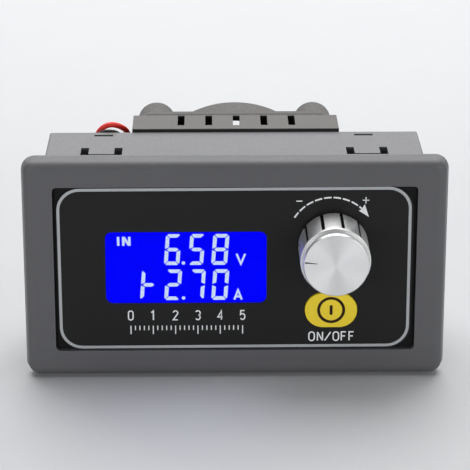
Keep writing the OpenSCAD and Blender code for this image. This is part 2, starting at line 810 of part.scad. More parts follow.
module link_header() color(brass) {
    at(link_x, 0) bar(link_w, link_pins*link_pitch + 2*link_end, y_power - link_base_h, y_power);
    link_row() bar(link_pin_w, link_pin_w, y_board_back + link_pin_gap, y_power - link_base_h + slip);
}

module power_board() color(board_green) difference() {
    union() {
        slab(y_power, y_power_back) rounded_rect(board_w, board_h, board_corner);
        both_sides() top_and_bottom() translate([snap_x, 0, board_h/2])
            bar(tab_slot_w - fit_gap, 2*(board_clear + power_tab), y_power, y_power_back);
    }
    corners(spacer_x, spacer_z) rod(spacer_tip_r + slip, y_power - eps, y_power_back + eps);
    at(sink_x, 0) for (s = [-1, 1]) at(s*sink_screw_x, -s*sink_screw_z)
        rod(m3_clear_r, y_power - eps, y_power_back + eps);
    at(sink_x, 0) slab(y_power - eps, y_power_back + eps) {
        translate([0, fet_z - fet_body_h/2 - 0.9])
            square([fet_w + 0.6, fet_body_h + 2.6], center = true);
        translate([0, fet_hole_z]) circle(m3_head_r + 0.4);
    }
}

module power_board_chips() color(chip_black) mirror([0, 1, 0]) {
    at(amp_x, amp_z) chip(driver_w, driver_h, driver_t, driver_legs, -y_power);
    at(-regulator_x, regulator_z) chip(driver_w, driver_h, driver_t, driver_legs, -y_power);
    at(-regulator_x, -3*regulator_z) chip(regulator_w, regulator_h, regulator_t, regulator_legs, -y_power);
}

module shunt_resistors() color([0.15, 0.2, 0.15]) for (i = [0:1]) at(shunt_x, -shunt_z + i*shunt_pitch)
    bar(shunt_w, shunt_h, y_power - shunt_t, y_power);

// Upright capacitors on the front of the power board, grooved near their open end
module bulk_capacitors() color([0.2, 0.2, 0.28]) for (s = [-1, 1]) at(can_x, can_z + s*can_pitch/2) {
    rod(can_r, y_power - can_h, y_power - 2*can_groove_h);
    rod(can_r - can_groove_d, y_power - 2*can_groove_h - slip, y_power - can_groove_h);
    rod(can_r, y_power - can_groove_h - slip, y_power);
}

module mosfet() color(chip_black)
    at(sink_x, fet_z - fet_body_h/2) bar(fet_w, fet_body_h, y_tab - fet_t, y_tab);

// Metal tab with its screw hole, and three leads bent on to the power board
module mosfet_leads() color(metal) at(sink_x, 0) {
    lead_bend = fet_z - fet_body_h - 1.6;
    difference() {
        at(0, fet_z + fet_tab_h/2) bar(fet_w, fet_tab_h, y_tab - fet_tab_t, y_tab);
        at(0, fet_hole_z) rod(m3_clear_r, y_tab - fet_t, y_tab + eps);
    }
    for (i = [-1:1]) translate([i*fet_lead_pitch, 0, 0]) {
        at(0, lead_bend + 0.8) bar(fet_lead_w, 1.6, y_fet_lead, y_fet_lead + fet_lead_t);
        at(0, lead_bend) bar(fet_lead_w, fet_lead_t, y_fet_lead, y_power_back + fet_lead_t);
        at(0, lead_bend - 1.6) bar(fet_lead_w, 3.2, y_power_back, y_power_back + fet_lead_t);
    }
}

module mosfet_screw() color(metal) at(sink_x, fet_hole_z)
    screw_backward(m3_r, fet_tab_t + pad_t + sink_base - 0.5, m3_head_r, m3_head_h, y_tab - fet_tab_t);

// Black insulating sheet over the heat sink's whole front
module thermal_pad() color(chip_black) at(sink_x, 0) difference() {
    bar(sink_w, sink_w, y_tab, y_sink);
    at(0, fet_hole_z) rod(m3_clear_r, y_tab - eps, y_sink + eps);
    for (s = [-1, 1]) at(s*sink_screw_x, -s*sink_screw_z) rod(m3_clear_r, y_tab - eps, y_sink + eps);
}

// Extruded fins along X, cut across so that air passes both ways
module heatsink() color(sink_grey) at(sink_x, 0) difference() {
    pitch = (sink_w - fin_t)/(fin_count - 1);
    bar(sink_w, sink_w, y_sink, y_fan);
    for (i = [0:fin_count - 2]) at(0, -sink_w/2 + fin_t/2 + (i + 0.5)*pitch)
        bar(sink_w + eps, pitch - fin_t, y_fins, y_fan + eps);
    for (i = [-2:2]) at(cut_x + i*cut_pitch, 0) bar(cut_w, sink_w + eps, y_fins, y_fan + eps);
    at(0, fan_z) corners(fan_hole, fan_hole) {
        rod(m3_clear_r, y_fins, y_fan + eps);
        rod(m3_hole_r, y_sink - eps, y_fins + eps);
    }
    at(0, fet_hole_z) rod(m3_hole_r, y_sink - eps, y_fins - 0.2);
    for (s = [-1, 1]) at(s*sink_screw_x, -s*sink_screw_z) rod(m3_hole_r, y_sink - eps, y_fins - 0.2);
}

module heatsink_spacers() color(brass) at(sink_x, 0) for (s = [-1, 1]) at(s*sink_screw_x, -s*sink_screw_z) difference() {
    rod(sink_spacer_r, y_power_back, y_tab);
    rod(m3_clear_r, y_power_back - eps, y_tab + eps);
}

module heatsink_screws() color(metal) at(sink_x, 0) for (s = [-1, 1]) at(s*sink_screw_x, -s*sink_screw_z)
    screw_backward(m3_r, y_fins - 0.5 - y_power, m3_head_r, m3_head_h, y_power);

// Outline of the fan's frame behind its flange: the ring and the four corner posts
module ring_outline() {
    circle(ring_r);
    for (sx = [-1, 1], sz = [-1, 1]) translate([sx*lobe_at, sz*lobe_at]) circle(lobe_r);
}

// Strut from the motor's base to the duct
module strut(w) {
    translate([(motor_r + duct_r)/2, 0, 0])
        bar(duct_r - motor_r + 1.2, w, y_fan + strut_step, y_fan + strut_step + strut_t);
}

// Frame with four struts; one of them is wider and has a channel for the leads
module fan_frame() color(fan_grey) at(sink_x, fan_z) difference() {
    union() {
        difference() {
            union() {
                slab(y_fan, y_fan + flange_t) rounded_rect(fan_w, fan_w, flange_r);
                slab(y_fan + flange_t/2, y_fan_back) ring_outline();
            }
            rod(duct_r, y_fan - eps, y_fan_back + eps);
            corners(fan_hole, fan_hole) rod(m3_clear_r, y_fan - eps, y_fan_back + eps);
        }
        rod(motor_r, y_fan, y_fan + motor_t);
        rod(tube_r, y_fan + motor_t/2, y_tube_end);
        rotate([0, strut_turn, 0]) strut(lead_strut_w);
        for (i = [1:strut_count - 1]) rotate([0, strut_turn + i*360/strut_count, 0]) strut(strut_w);
    }
    rod(tube_bore_r, y_fan + motor_t/2, y_tube_end + eps);
    rotate([0, strut_turn, 0]) translate([motor_r + ring_r, 0, 0])
        bar(2*ring_r, channel_w, y_fan - eps, y_fan + channel_t);
}

module fan_bearing() color(brass) at(sink_x, fan_z) difference() {
    rod(tube_bore_r - slip, y_fan + motor_t/2, y_tube_end);
    rod(fan_shaft_r + slip, y_fan + motor_t, y_tube_end + eps);
}

// Four-pole iron core round the bearing tube
module fan_stator() color("peru") at(sink_x, fan_z) difference() {
    union() {
        rod(tube_r + 1, y_hub + 1, y_tube_end - 0.6);
        for (i = [0:1]) rotate([0, 45 + 90*i, 0]) intersection() {
            bar(2*stator_r, stator_r, y_hub + 1, y_tube_end - 0.6);
            rod(stator_r, y_hub, y_tube_end);
        }
    }
    rod(tube_r + slip, y_hub, y_tube_end);
}

// Curved blade: an arc in section, running straight out from the hub
module fan_blade() {
    low = blade_arc_r*sin(blade_outlet);
    middle = blade_arc_r*(cos(blade_inlet) + cos(blade_outlet))/2;
    translate([0, y_hub + 0.3 - low, 0]) rotate([0, 90, 0]) translate([-middle, 0, 0])
        linear_extrude(blade_tip_r + eps) intersection() {
            difference() {
                circle(blade_arc_r);
                circle(blade_arc_r - blade_t);
            }
            translate([0, low]) square([blade_arc_r, blade_axial]);
        }
}

module fan_rotor() color(fan_grey) at(sink_x, fan_z) {
    difference() {
        rod(hub_r, y_hub, y_hub_back);
        rod(hub_r - hub_wall, y_hub - eps, y_hub_back - hub_wall);
        rod(fan_shaft_r, y_hub, y_hub_back - hub_wall/2);
    }
    for (i = [0:blade_count - 1]) rotate([0, i*360/blade_count, 0]) intersection() {
        fan_blade();
        difference() {
            rod(blade_tip_r, y_hub - eps, y_fan_back);
            rod(hub_r - hub_wall/2, y_hub - 2*eps, y_fan_back + eps);
        }
    }
}

module fan_magnet() color(chip_black) at(sink_x, fan_z) difference() {
    rod(magnet_r, y_hub + 0.4, y_hub_back - hub_wall);
    rod(magnet_r - magnet_t, y_hub, y_hub_back);
}

module fan_shaft() color(metal) at(sink_x, fan_z) rod(fan_shaft_r, y_fan + motor_t + 0.4, y_hub_back - hub_wall/2);

module fan_screws() color(dark_metal) at(sink_x, fan_z) corners(fan_hole, fan_hole)
    screw_forward(m3_r, y_fan_back - y_sink - 0.6, m3_head_r, m3_head_h, y_fan_back);

// Fan connector on the power board, open upwards for its plug
module fan_header() color(nylon) difference() {
    translate([plug_x - plug_w/2 - header_wall, y_power_back, header_z0])
        cube([plug_w + 2*header_wall, plug_y + plug_l/2 + header_wall - y_power_back, header_z1 - header_z0]);
    translate([plug_x - plug_w/2 - slip, plug_y - plug_l/2 - slip, plug_z0 - slip])
        cube([plug_w + 2*slip, plug_l + 2*slip, plug_z1]);
}

module fan_plug() color(nylon) difference() {
    translate([plug_x - plug_w/2, plug_y - plug_l/2, plug_z0]) cube([plug_w, plug_l, plug_z1 - plug_z0]);
    for (s = [-1, 1]) translate([plug_x - plug_w/2 - slip, plug_y + s*plug_pitch/2 - 0.4, plug_z1 - 2.5])
        cube([0.6, 0.8, 1.4]);
}

// Unit vector along a route at one of its points
function heading(route, i) =
    let (ahead = route[min(i + 1, len(route) - 1)] - route[max(i - 1, 0)]) ahead/norm(ahead);

// Ring of points round a route, turned so that neighbouring rings line up
function ring(route, i, r, sides) =
    let (along = heading(route, i), side = cross(along, [0.1, 1, 0]), u = side/norm(side), v = cross(along, u))
    [for (k = [0:sides - 1]) route[i] + r*(cos(360*k/sides)*u + sin(360*k/sides)*v)];

// Tube swept along a route
module lead(route, r, sides = 8) {
    last = len(route) - 1;
    points = [for (i = [0:last]) each ring(route, i, r, sides)];
    skin = [for (i = [0:last - 1], k = [0:sides - 1]) let (n = (k + 1) % sides)
        [i*sides + k, i*sides + n, (i + 1)*sides + n, (i + 1)*sides + k]];
    ends = [[for (k = [sides - 1:-1:0]) k], [for (k = [0:sides - 1]) last*sides + k]];
    polyhedron(points, concat(skin, ends), convexity = 4);
}

module fan_lead_red() color([0.8, 0.1, 0.08]) lead(lead_red_route, lead_r);

module fan_lead_black() color([0.06, 0.06, 0.06]) lead(lead_black_route, lead_r);

// Copies at the terminal's two poles
module poles() {
    for (s = [-1, 1]) at(terminal_x, s*pole_pitch/2) children();
}

// Two-pole terminal block: wires go in from the outer side, screws from the back
module input_terminal() color([0.1, 0.45, 0.2]) difference() {
    at(terminal_x, 0) bar(terminal_w, 2*pole_w, y_power_back, y_terminal);
    poles() {
        bar(cage_l + 2*shaft_gap, cage_w + 2*shaft_gap, cage_floor_y - slip, y_clamp_head - 0.1);
        rod(clamp_head_r + 0.15, y_clamp_head - 0.2, y_terminal + eps);
        translate([terminal_w/2, 0, 0])
            bar(terminal_w, cage_w - 2*shaft_gap, cage_floor_y + 0.3, y_bar + bar_t + slip);
        translate([-terminal_w/4, 0, 0])
            bar(terminal_w/2 - 1.6, cage_w - 2*cage_wall, y_power_back - eps, y_bar + bar_t + slip);
    }
}

// Contact bars through the cages, each with a leg down to the power board
module terminal_contacts() color(metal) poles() {
    leg_x = -cage_l/2 - shaft_gap - 0.4;
    translate([0.2, 0, 0]) bar(cage_l + 1, cage_w - 2*cage_wall - 2*slip, y_bar, y_bar + bar_t);
    translate([leg_x, 0, 0]) bar(0.6, cage_w - 2*cage_wall - 2*slip, y_power_back, y_bar + bar_t);
}

// Slotted screw turning in the block; its tip bears on the contact bar
module clamp_screw() color(metal) difference() {
    union() {
        rod(clamp_screw_r, y_bar + bar_t, y_clamp_head + slip);
        rod(clamp_head_r, y_clamp_head, y_clamp_head + clamp_head_h);
    }
    bar(2*clamp_head_r, slot_w, y_clamp_head + clamp_head_h/2, y_clamp_head + clamp_head_h + eps);
}

// Cage that the screw draws up towards the contact bar
module clamp_cage() color(metal) difference() {
    bar(cage_l, cage_w, cage_floor_y, y_cage_top);
    bar(cage_l + eps, cage_w - 2*cage_wall, cage_floor_y + cage_wall, y_cage_top - cage_roof);
    rod(clamp_screw_r + slip, y_cage_top - cage_roof - eps, y_cage_top + eps);
}

module terminal_screw_plus() at(terminal_x, pole_pitch/2) clamp_screw();

module terminal_screw_minus() at(terminal_x, -pole_pitch/2) clamp_screw();

module terminal_cage_plus() at(terminal_x, pole_pitch/2) clamp_cage();

module terminal_cage_minus() at(terminal_x, -pole_pitch/2) clamp_cage();

// Shroud of the serial connector, open to the back and notched on one side
module serial_header() color(nylon) at(serial_x, serial_z) {
    length = serial_pins*serial_pitch + 2*serial_end;
    difference() {
        bar(serial_w, length, y_power_back, serial_top);
        bar(serial_w - 2*serial_wall, length - 2*serial_wall, y_power_back + serial_floor, serial_top + eps);
        translate([serial_w/2, 0, 0]) bar(2*serial_wall + eps, 2, y_power_back + 2.5, serial_top + eps);
    }
}

module serial_contacts() color(brass)
    for (i = [0:serial_pins - 1]) at(serial_x, serial_z + (i - (serial_pins - 1)/2)*serial_pitch)
        bar(link_pin_w, link_pin_w, y_power_back + serial_floor, serial_top - 1);

housing();
front_panel();
panel_overlay();
display_window();
lcd_glass();
lcd_backlight();
lcd_pins();
display_board();
display_board_chips();
display_board_screws();
encoder_body();
encoder_bushing();
encoder_plunger();
encoder_shaft();
knob();
knob_insert();
power_button();
switch_body();
switch_plunger();
board_spacers();
link_socket();
link_header();
power_board();
power_board_chips();
shunt_resistors();
bulk_capacitors();
mosfet();
mosfet_leads();
mosfet_screw();
thermal_pad();
heatsink();
heatsink_spacers();
heatsink_screws();
fan_frame();
fan_bearing();
fan_stator();
fan_rotor();
fan_magnet();
fan_shaft();
fan_screws();
fan_header();
fan_plug();
fan_lead_red();
fan_lead_black();
input_terminal();
terminal_contacts();
terminal_screw_plus();
terminal_screw_minus();
terminal_cage_plus();
terminal_cage_minus();
serial_header();
serial_contacts();
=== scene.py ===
"""Looks of a panel-mounted DC electronic load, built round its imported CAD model."""
import math

import bmesh
import bpy
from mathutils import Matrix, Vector


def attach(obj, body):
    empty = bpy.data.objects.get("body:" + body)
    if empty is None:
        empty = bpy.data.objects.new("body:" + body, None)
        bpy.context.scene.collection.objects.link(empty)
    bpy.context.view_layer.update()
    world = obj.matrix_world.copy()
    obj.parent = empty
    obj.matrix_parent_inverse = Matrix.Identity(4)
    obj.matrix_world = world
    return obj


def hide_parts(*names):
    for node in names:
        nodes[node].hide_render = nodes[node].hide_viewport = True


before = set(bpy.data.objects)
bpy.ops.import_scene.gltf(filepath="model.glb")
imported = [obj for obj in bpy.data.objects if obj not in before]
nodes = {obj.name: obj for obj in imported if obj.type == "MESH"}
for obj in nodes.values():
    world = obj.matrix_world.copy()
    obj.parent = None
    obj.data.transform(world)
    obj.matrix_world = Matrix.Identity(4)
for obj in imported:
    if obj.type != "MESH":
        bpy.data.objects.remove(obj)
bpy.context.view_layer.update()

MM = 0.001
scene = bpy.context.scene
scene.view_settings.view_transform = "Standard"

# Camera: the photograph's place, tilt and focal length
CAMERA_AT = Vector((-5.087, -395.976, 147.047)) * MM
CAMERA_DOWN = math.radians(19.637)
CAMERA_RIGHT = math.radians(0.737)
SENSOR_WIDTH = 36.0
FOCAL_LENGTH = 172.5
CLIP_START = 0.01
camera_data = bpy.data.cameras.new("camera")
camera_data.sensor_width = SENSOR_WIDTH
camera_data.lens = FOCAL_LENGTH
camera_data.clip_start = CLIP_START
camera = bpy.data.objects.new("camera", camera_data)
scene.collection.objects.link(camera)
ahead = Vector((
    math.sin(CAMERA_RIGHT) * math.cos(CAMERA_DOWN),
    math.cos(CAMERA_RIGHT) * math.cos(CAMERA_DOWN),
    -math.sin(CAMERA_DOWN)))
camera.location = CAMERA_AT
camera.rotation_euler = ahead.to_track_quat("-Z", "Y").to_euler()
scene.camera = camera

# Noise values that count as lowest and highest
NOISE_LOW = 0.25
NOISE_HIGH = 0.75
# First input, second input and output of a Mix node for each kind of value
MIX_SOCKETS = {"FLOAT": (2, 3, 0), "VECTOR": (4, 5, 1), "RGBA": (6, 7, 2)}


def linear(r, g, b):
    """Linear colour of an sRGB colour given as 0 to 255."""
    def one(v):
        v = v / 255
        return v / 12.92 if v <= 0.04045 else ((v + 0.055) / 1.055) ** 2.4
    return (one(r), one(g), one(b), 1.0)


def shade(color, factor):
    """A colour made darker or paler by a factor."""
    return tuple(min(1.0, c * factor) for c in color[:3]) + (1.0,)


def blank_material(name, sockets):
    """A new material, its node tree and its principled shader with some sockets set."""
    material = bpy.data.materials.new(name)
    material.use_nodes = True
    shader = material.node_tree.nodes["Principled BSDF"]
    for key, value in sockets.items():
        shader.inputs[key].default_value = value
    return material, material.node_tree, shader


def put(tree, socket, value):
    """Links an output to an input, or sets the input to a plain value."""
    if isinstance(value, bpy.types.NodeSocket):
        tree.links.new(value, socket)
    else:
        socket.default_value = value


def place_of(tree):
    """The object's own coordinates."""
    return tree.nodes.new("ShaderNodeTexCoord").outputs["Object"]


def axes_of(tree, vector):
    """The X, Y and Z outputs of a vector output."""
    node = tree.nodes.new("ShaderNodeSeparateXYZ")
    tree.links.new(vector, node.inputs[0])
    return node.outputs["X"], node.outputs["Y"], node.outputs["Z"]


def texture(tree, kind, vector=None, **values):
    """A texture node on the object's own coordinates, or on another vector output."""
    node = tree.nodes.new(kind)
    tree.links.new(place_of(tree) if vector is None else vector, node.inputs["Vector"])
    for key, value in values.items():
        node.inputs[key].default_value = value
    return node


def noise(tree, scale, detail, vector=None):
    """The output of a noise texture."""
    return texture(tree, "ShaderNodeTexNoise", vector, Scale=scale, Detail=detail).outputs["Fac"]


def ramp(tree, source, low, high, bottom=0.0, top=1.0):
    """Goes from a bottom to a top value between two values of an output."""
    node = tree.nodes.new("ShaderNodeMapRange")
    node.inputs["From Min"].default_value = low
    node.inputs["From Max"].default_value = high
    node.inputs["To Min"].default_value = bottom
    node.inputs["To Max"].default_value = top
    tree.links.new(source, node.inputs["Value"])
    return node.outputs["Result"]


def mapped(tree, source, low=0.0, high=1.0):
    """Spreads a noise output over a range."""
    return ramp(tree, source, NOISE_LOW, NOISE_HIGH, low, high)


def mixed(tree, factor, first, second, kind="RGBA"):
    """Value between two values or outputs, which are colours unless another kind is named."""
    node = tree.nodes.new("ShaderNodeMix")
    node.data_type = kind
    low, high, result = MIX_SOCKETS[kind]
    tree.links.new(factor, node.inputs[0])
    put(tree, node.inputs[low], first)
    put(tree, node.inputs[high], second)
    return node.outputs[result]


def arithmetic(tree, operation, first, second=0.0):
    """One step of arithmetic on outputs or plain numbers."""
    node = tree.nodes.new("ShaderNodeMath")
    node.operation = operation
    put(tree, node.inputs[0], first)
    put(tree, node.inputs[1], second)
    return node.outputs[0]


def vector_step(tree, operation, first, second=None, result="Vector"):
    """One step of arithmetic on vector outputs or plain vectors."""
    node = tree.nodes.new("ShaderNodeVectorMath")
    node.operation = operation
    put(tree, node.inputs[0], first)
    if second is not None:
        put(tree, node.inputs[1], second)
    return node.outputs[result]


def bumped(tree, shader, height, strength, depth):
    """Gives a shader relief from a height output."""
    node = tree.nodes.new("ShaderNodeBump")
    node.inputs["Strength"].default_value = strength
    node.inputs["Distance"].default_value = depth
    tree.links.new(height, node.inputs["Height"])
    tree.links.new(node.outputs["Normal"], shader.inputs["Normal"])


# Moulded plastic: share of pale specks, spread of the gloss and depth of the grain
SPECK_SHARE = 0.35
GRAIN_GLOSS = 0.06
GRAIN_DEPTH = 0.00004


def grained(name, color, rough, tint=0.1, grain=1800.0, bump=0.15, specular=0.5, blotch=60.0):
    """Moulded plastic, insulation or ink: fine grain, soft blotches and uneven gloss."""
    material, tree, shader = blank_material(name, {"Specular IOR Level": specular})
    wide = noise(tree, blotch, 3.0)
    fine = noise(tree, grain, 2.0)
    tone = mixed(tree, mapped(tree, wide), shade(color, 1 - tint), shade(color, 1 + tint))
    speck = mixed(tree, mapped(tree, fine, high=SPECK_SHARE), tone, shade(color, 1 + 2 * tint))
    gloss = mapped(tree, fine, rough - GRAIN_GLOSS, rough + GRAIN_GLOSS)
    tree.links.new(speck, shader.inputs["Base Color"])
    tree.links.new(gloss, shader.inputs["Roughness"])
    bumped(tree, shader, fine, bump, GRAIN_DEPTH)
    return material


# Drawn metal: stretch of its lines, darkest and palest tone, spread of the gloss and depth
LINE_STRETCH = 60
LINE_DARK = 0.88
LINE_PALE = 1.1
LINE_GLOSS = 0.08
LINE_DEPTH = 0.00002


def brushed(name, color, rough, axis, metallic=1.0, lines=6000.0, bump=0.12, specular=0.5):
    """Drawn or milled metal: fine lines along one axis."""
    material, tree, shader = blank_material(name, {"Specular IOR Level": specular, "Metallic": metallic})
    stretch = [lines / LINE_STRETCH if i == axis else lines for i in range(3)]
    drawn = noise(tree, 1.0, 3.0, vector_step(tree, "MULTIPLY", place_of(tree), stretch))
    tone = mixed(tree, mapped(tree, drawn), shade(color, LINE_DARK), shade(color, LINE_PALE))
    tree.links.new(tone, shader.inputs["Base Color"])
    gloss = mapped(tree, drawn, rough - LINE_GLOSS, rough + LINE_GLOSS)
    tree.links.new(gloss, shader.inputs["Roughness"])
    bumped(tree, shader, drawn, bump, LINE_DEPTH)
    return material


# Lit display: its dark base colour, surface gloss and strength
GLOW_BASE = (0.0, 0.0, 0.0, 1.0)
GLOW_ROUGH = 0.35
GLOW_SPECULAR = 0.1
GLOW_STRENGTH = 1.0


def glowing(name, color, grain, tint):
    """Lit display colour with a faint cell texture."""
    material, tree, shader = blank_material(name, {
        "Base Color": GLOW_BASE, "Roughness": GLOW_ROUGH, "Specular IOR Level": GLOW_SPECULAR,
        "Emission Strength": GLOW_STRENGTH})
    cells = mapped(tree, noise(tree, grain, 1.0))
    tone = mixed(tree, cells, shade(color, 1 - tint), shade(color, 1 + tint))
    tree.links.new(tone, shader.inputs["Emission Color"])
    return material


def rounded_normal(tree, radius, samples):
    """Normal of the surface with its edges rounded."""
    node = tree.nodes.new("ShaderNodeBevel")
    node.samples = samples
    node.inputs["Radius"].default_value = radius * MM
    return node.outputs["Normal"]


def true_normal(tree):
    """Normal of the surface as it is."""
    return tree.nodes.new("ShaderNodeNewGeometry").outputs["Normal"]


def recoloured(material, amount, color):
    """Lays a colour over a material's own, as much as an output says."""
    tree = material.node_tree
    socket = tree.nodes["Principled BSDF"].inputs["Base Color"]
    own = socket.links[0].from_socket
    tree.links.new(mixed(tree, amount, own, color), socket)


# Agreement of the true and the rounded normal at which the painted edge highlight starts and is full
EDGE_HIGHLIGHT_STARTS = 0.995
EDGE_HIGHLIGHT_FULL = 0.9
EDGE_HIGHLIGHT_RADIUS = 0.3
EDGE_HIGHLIGHT_SAMPLES = 6


def worn_edges(material, color):
    """Paints a paler tone along the edges of a material, as a painted highlight."""
    tree = material.node_tree
    rounded = rounded_normal(tree, EDGE_HIGHLIGHT_RADIUS, EDGE_HIGHLIGHT_SAMPLES)
    agreement = vector_step(tree, "DOT_PRODUCT", rounded, true_normal(tree), "Value")
    recoloured(material, ramp(tree, agreement, EDGE_HIGHLIGHT_STARTS, EDGE_HIGHLIGHT_FULL), color)


# Bezel's soft rim: rounding, depth where it ends, and where it sets in, from the middle outwards
RIM_RADIUS = 2.2
RIM_SAMPLES = 8
RIM_END = -0.3
RIM_FADE = 0.2
RIM_X = (37.2, 37.8)
RIM_Z = (19.2, 19.8)


def soft_rim(material):
    """Rounds the shading of the bezel's outer edges, as on a soft moulded rim."""
    tree = material.node_tree
    x, y, z = axes_of(tree, place_of(tree))
    front = ramp(tree, y, RIM_END * MM, (RIM_END - RIM_FADE) * MM)
    beside = ramp(tree, arithmetic(tree, "ABSOLUTE", x), *[edge * MM for edge in RIM_X])
    above = ramp(tree, arithmetic(tree, "ABSOLUTE", z), *[edge * MM for edge in RIM_Z])
    outer = arithmetic(tree, "MAXIMUM", beside, above)
    amount = arithmetic(tree, "MULTIPLY", front, outer)
    rounded = rounded_normal(tree, RIM_RADIUS, RIM_SAMPLES)
    blend = mixed(tree, amount, true_normal(tree), rounded, "VECTOR")
    tree.links.new(vector_step(tree, "NORMALIZE", blend), tree.nodes["Bump"].inputs["Normal"])


# Depth behind which the fan's plastic has no painted shade, the soft edge of the painted shade along the
# seam against the heat sink, and its colour
FAN_SEAM = 32.2
SEAM_FADE = 0.3
SEAM_SHADE_COLOR = linear(24, 23, 22)


def seam_dirt(material):
    """Darkens a material in front of a depth, as a painted shade in the seam against the heat sink."""
    tree = material.node_tree
    depth = axes_of(tree, place_of(tree))[1]
    recoloured(material, ramp(tree, depth, FAN_SEAM * MM, (FAN_SEAM - SEAM_FADE) * MM), SEAM_SHADE_COLOR)


# Fan leads, on the routes of their CAD solids
STRUT_TURN = math.radians(200)
STRUT_RADII = (19.35, 17.26, 15.18, 13.09, 11.0)
SINK_X = 0.4
FAN_Z = 0.4
LEAD_Y = 31.0
LEAD_HALF_GAP = 0.7
LEAD_DIAMETER = 1.1
LEAD_ROUND = 5
LEAD_STEPS = 10


def strut_points(off):
    """Points along the fan's strut, at some distance beside its middle line."""
    turn_cos, turn_sin = math.cos(STRUT_TURN), math.sin(STRUT_TURN)
    return [
        (SINK_X + r * turn_cos + off * turn_sin, LEAD_Y, FAN_Z + off * turn_cos - r * turn_sin)
        for r in STRUT_RADII]


RED_ROUTE = [
    (-27.0, 23.4, 13.0), (-27.0, 23.4, 14.6), (-26.9, 23.4, 16.2), (-26.6, 23.4, 17.7),
    (-26.0, 23.4, 18.95), (-25.1, 23.4, 19.8), (-24.0, 23.6, 20.15), (-22.9, 24.1, 19.95),
    (-21.9, 25.0, 19.3), (-21.15, 26.0, 18.45), (-20.7, 26.9, 17.4), (-20.5, 27.5, 16.0),
    (-20.5, 27.9, 14.5), (-20.7, 28.1, 13.08), (-21.25, 28.5, 11.68), (-21.7, 29.2, 10.48),
    (-21.55, 29.9, 9.48), (-20.9, 30.6, 8.78), (-19.8, 31.0, 8.18)] + strut_points(-LEAD_HALF_GAP)
BLACK_ROUTE = [
    (-27.0, 21.4, 13.0), (-27.0, 21.4, 15.0), (-27.0, 21.4, 16.6), (-26.7, 21.4, 17.9),
    (-25.95, 21.4, 18.85), (-24.85, 21.4, 19.25), (-23.7, 21.45, 19.3), (-22.9, 21.6, 19.1),
    (-22.1, 21.9, 18.5), (-21.5, 22.3, 17.6), (-21.15, 22.8, 16.3), (-21.0, 23.3, 14.8),
    (-20.9, 23.9, 13.2), (-20.9, 24.7, 11.26), (-21.3, 26.5, 9.56), (-21.8, 28.2, 8.46),
    (-21.6, 29.6, 7.66), (-20.9, 30.6, 7.16), (-19.9, 31.0, 6.81)] + strut_points(LEAD_HALF_GAP)


def lead(name, route, node, material):
    """An insulated lead along a route, standing for its CAD tube."""
    curve = bpy.data.curves.new(name, "CURVE")
    curve.dimensions = "3D"
    curve.bevel_depth = LEAD_DIAMETER / 2 * MM
    curve.bevel_resolution = LEAD_ROUND
    curve.use_fill_caps = True
    curve.resolution_u = LEAD_STEPS
    spline = curve.splines.new("BEZIER")
    spline.bezier_points.add(len(route) - 1)
    for point, place in zip(spline.bezier_points, route):
        point.co = Vector(place) * MM
        point.handle_left_type = point.handle_right_type = "AUTO"
    piece = bpy.data.objects.new(name, curve)
    scene.collection.objects.link(piece)
    piece.data.materials.append(material)
    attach(piece, "chassis")
    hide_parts(node)


red_wire = grained("red_insulation", linear(222, 44, 36), rough=0.42, tint=0.05, grain=900, bump=0.05)
black_wire = grained(
    "black_insulation", linear(16, 16, 17), rough=0.5, tint=0.08, grain=900, bump=0.05, specular=0.25)
lead("red_lead", RED_ROUTE, "fan_lead_red", red_wire)
lead("black_lead", BLACK_ROUTE, "fan_lead_black", black_wire)

# Knob: middle, depth of its face, and where its grooves, engraved mark and neck are, from the face back
KNOB_AT = (18.2, 4.65)
KNOB_FACE = -13.8
GROOVE_START = 2.55
GROOVE_R = 6.25
MARK_START = 0.06
MARK_R = 5.7
NECK_NEAR = 0.8
NECK_FAR = 2.0
NECK_R = 5.93
NECK_SHADE = 0.4
KNOB_BRIGHT = linear(250, 250, 250)
MARK_GREY = linear(70, 70, 72)
GROOVE_BLACK = linear(22, 22, 22)
# Knob's finish: how much its sheen is drawn out, in which direction, and its turned rings
SHEEN = 0.6
SHEEN_TURN = 0.25
KNOB_GLOSS = (0.34, 0.44)
RING_SCALE = 9000.0
RING_DARK = 0.93
RING_PALE = 1.05
RING_BUMP = 0.05
RING_DEPTH = 0.00001


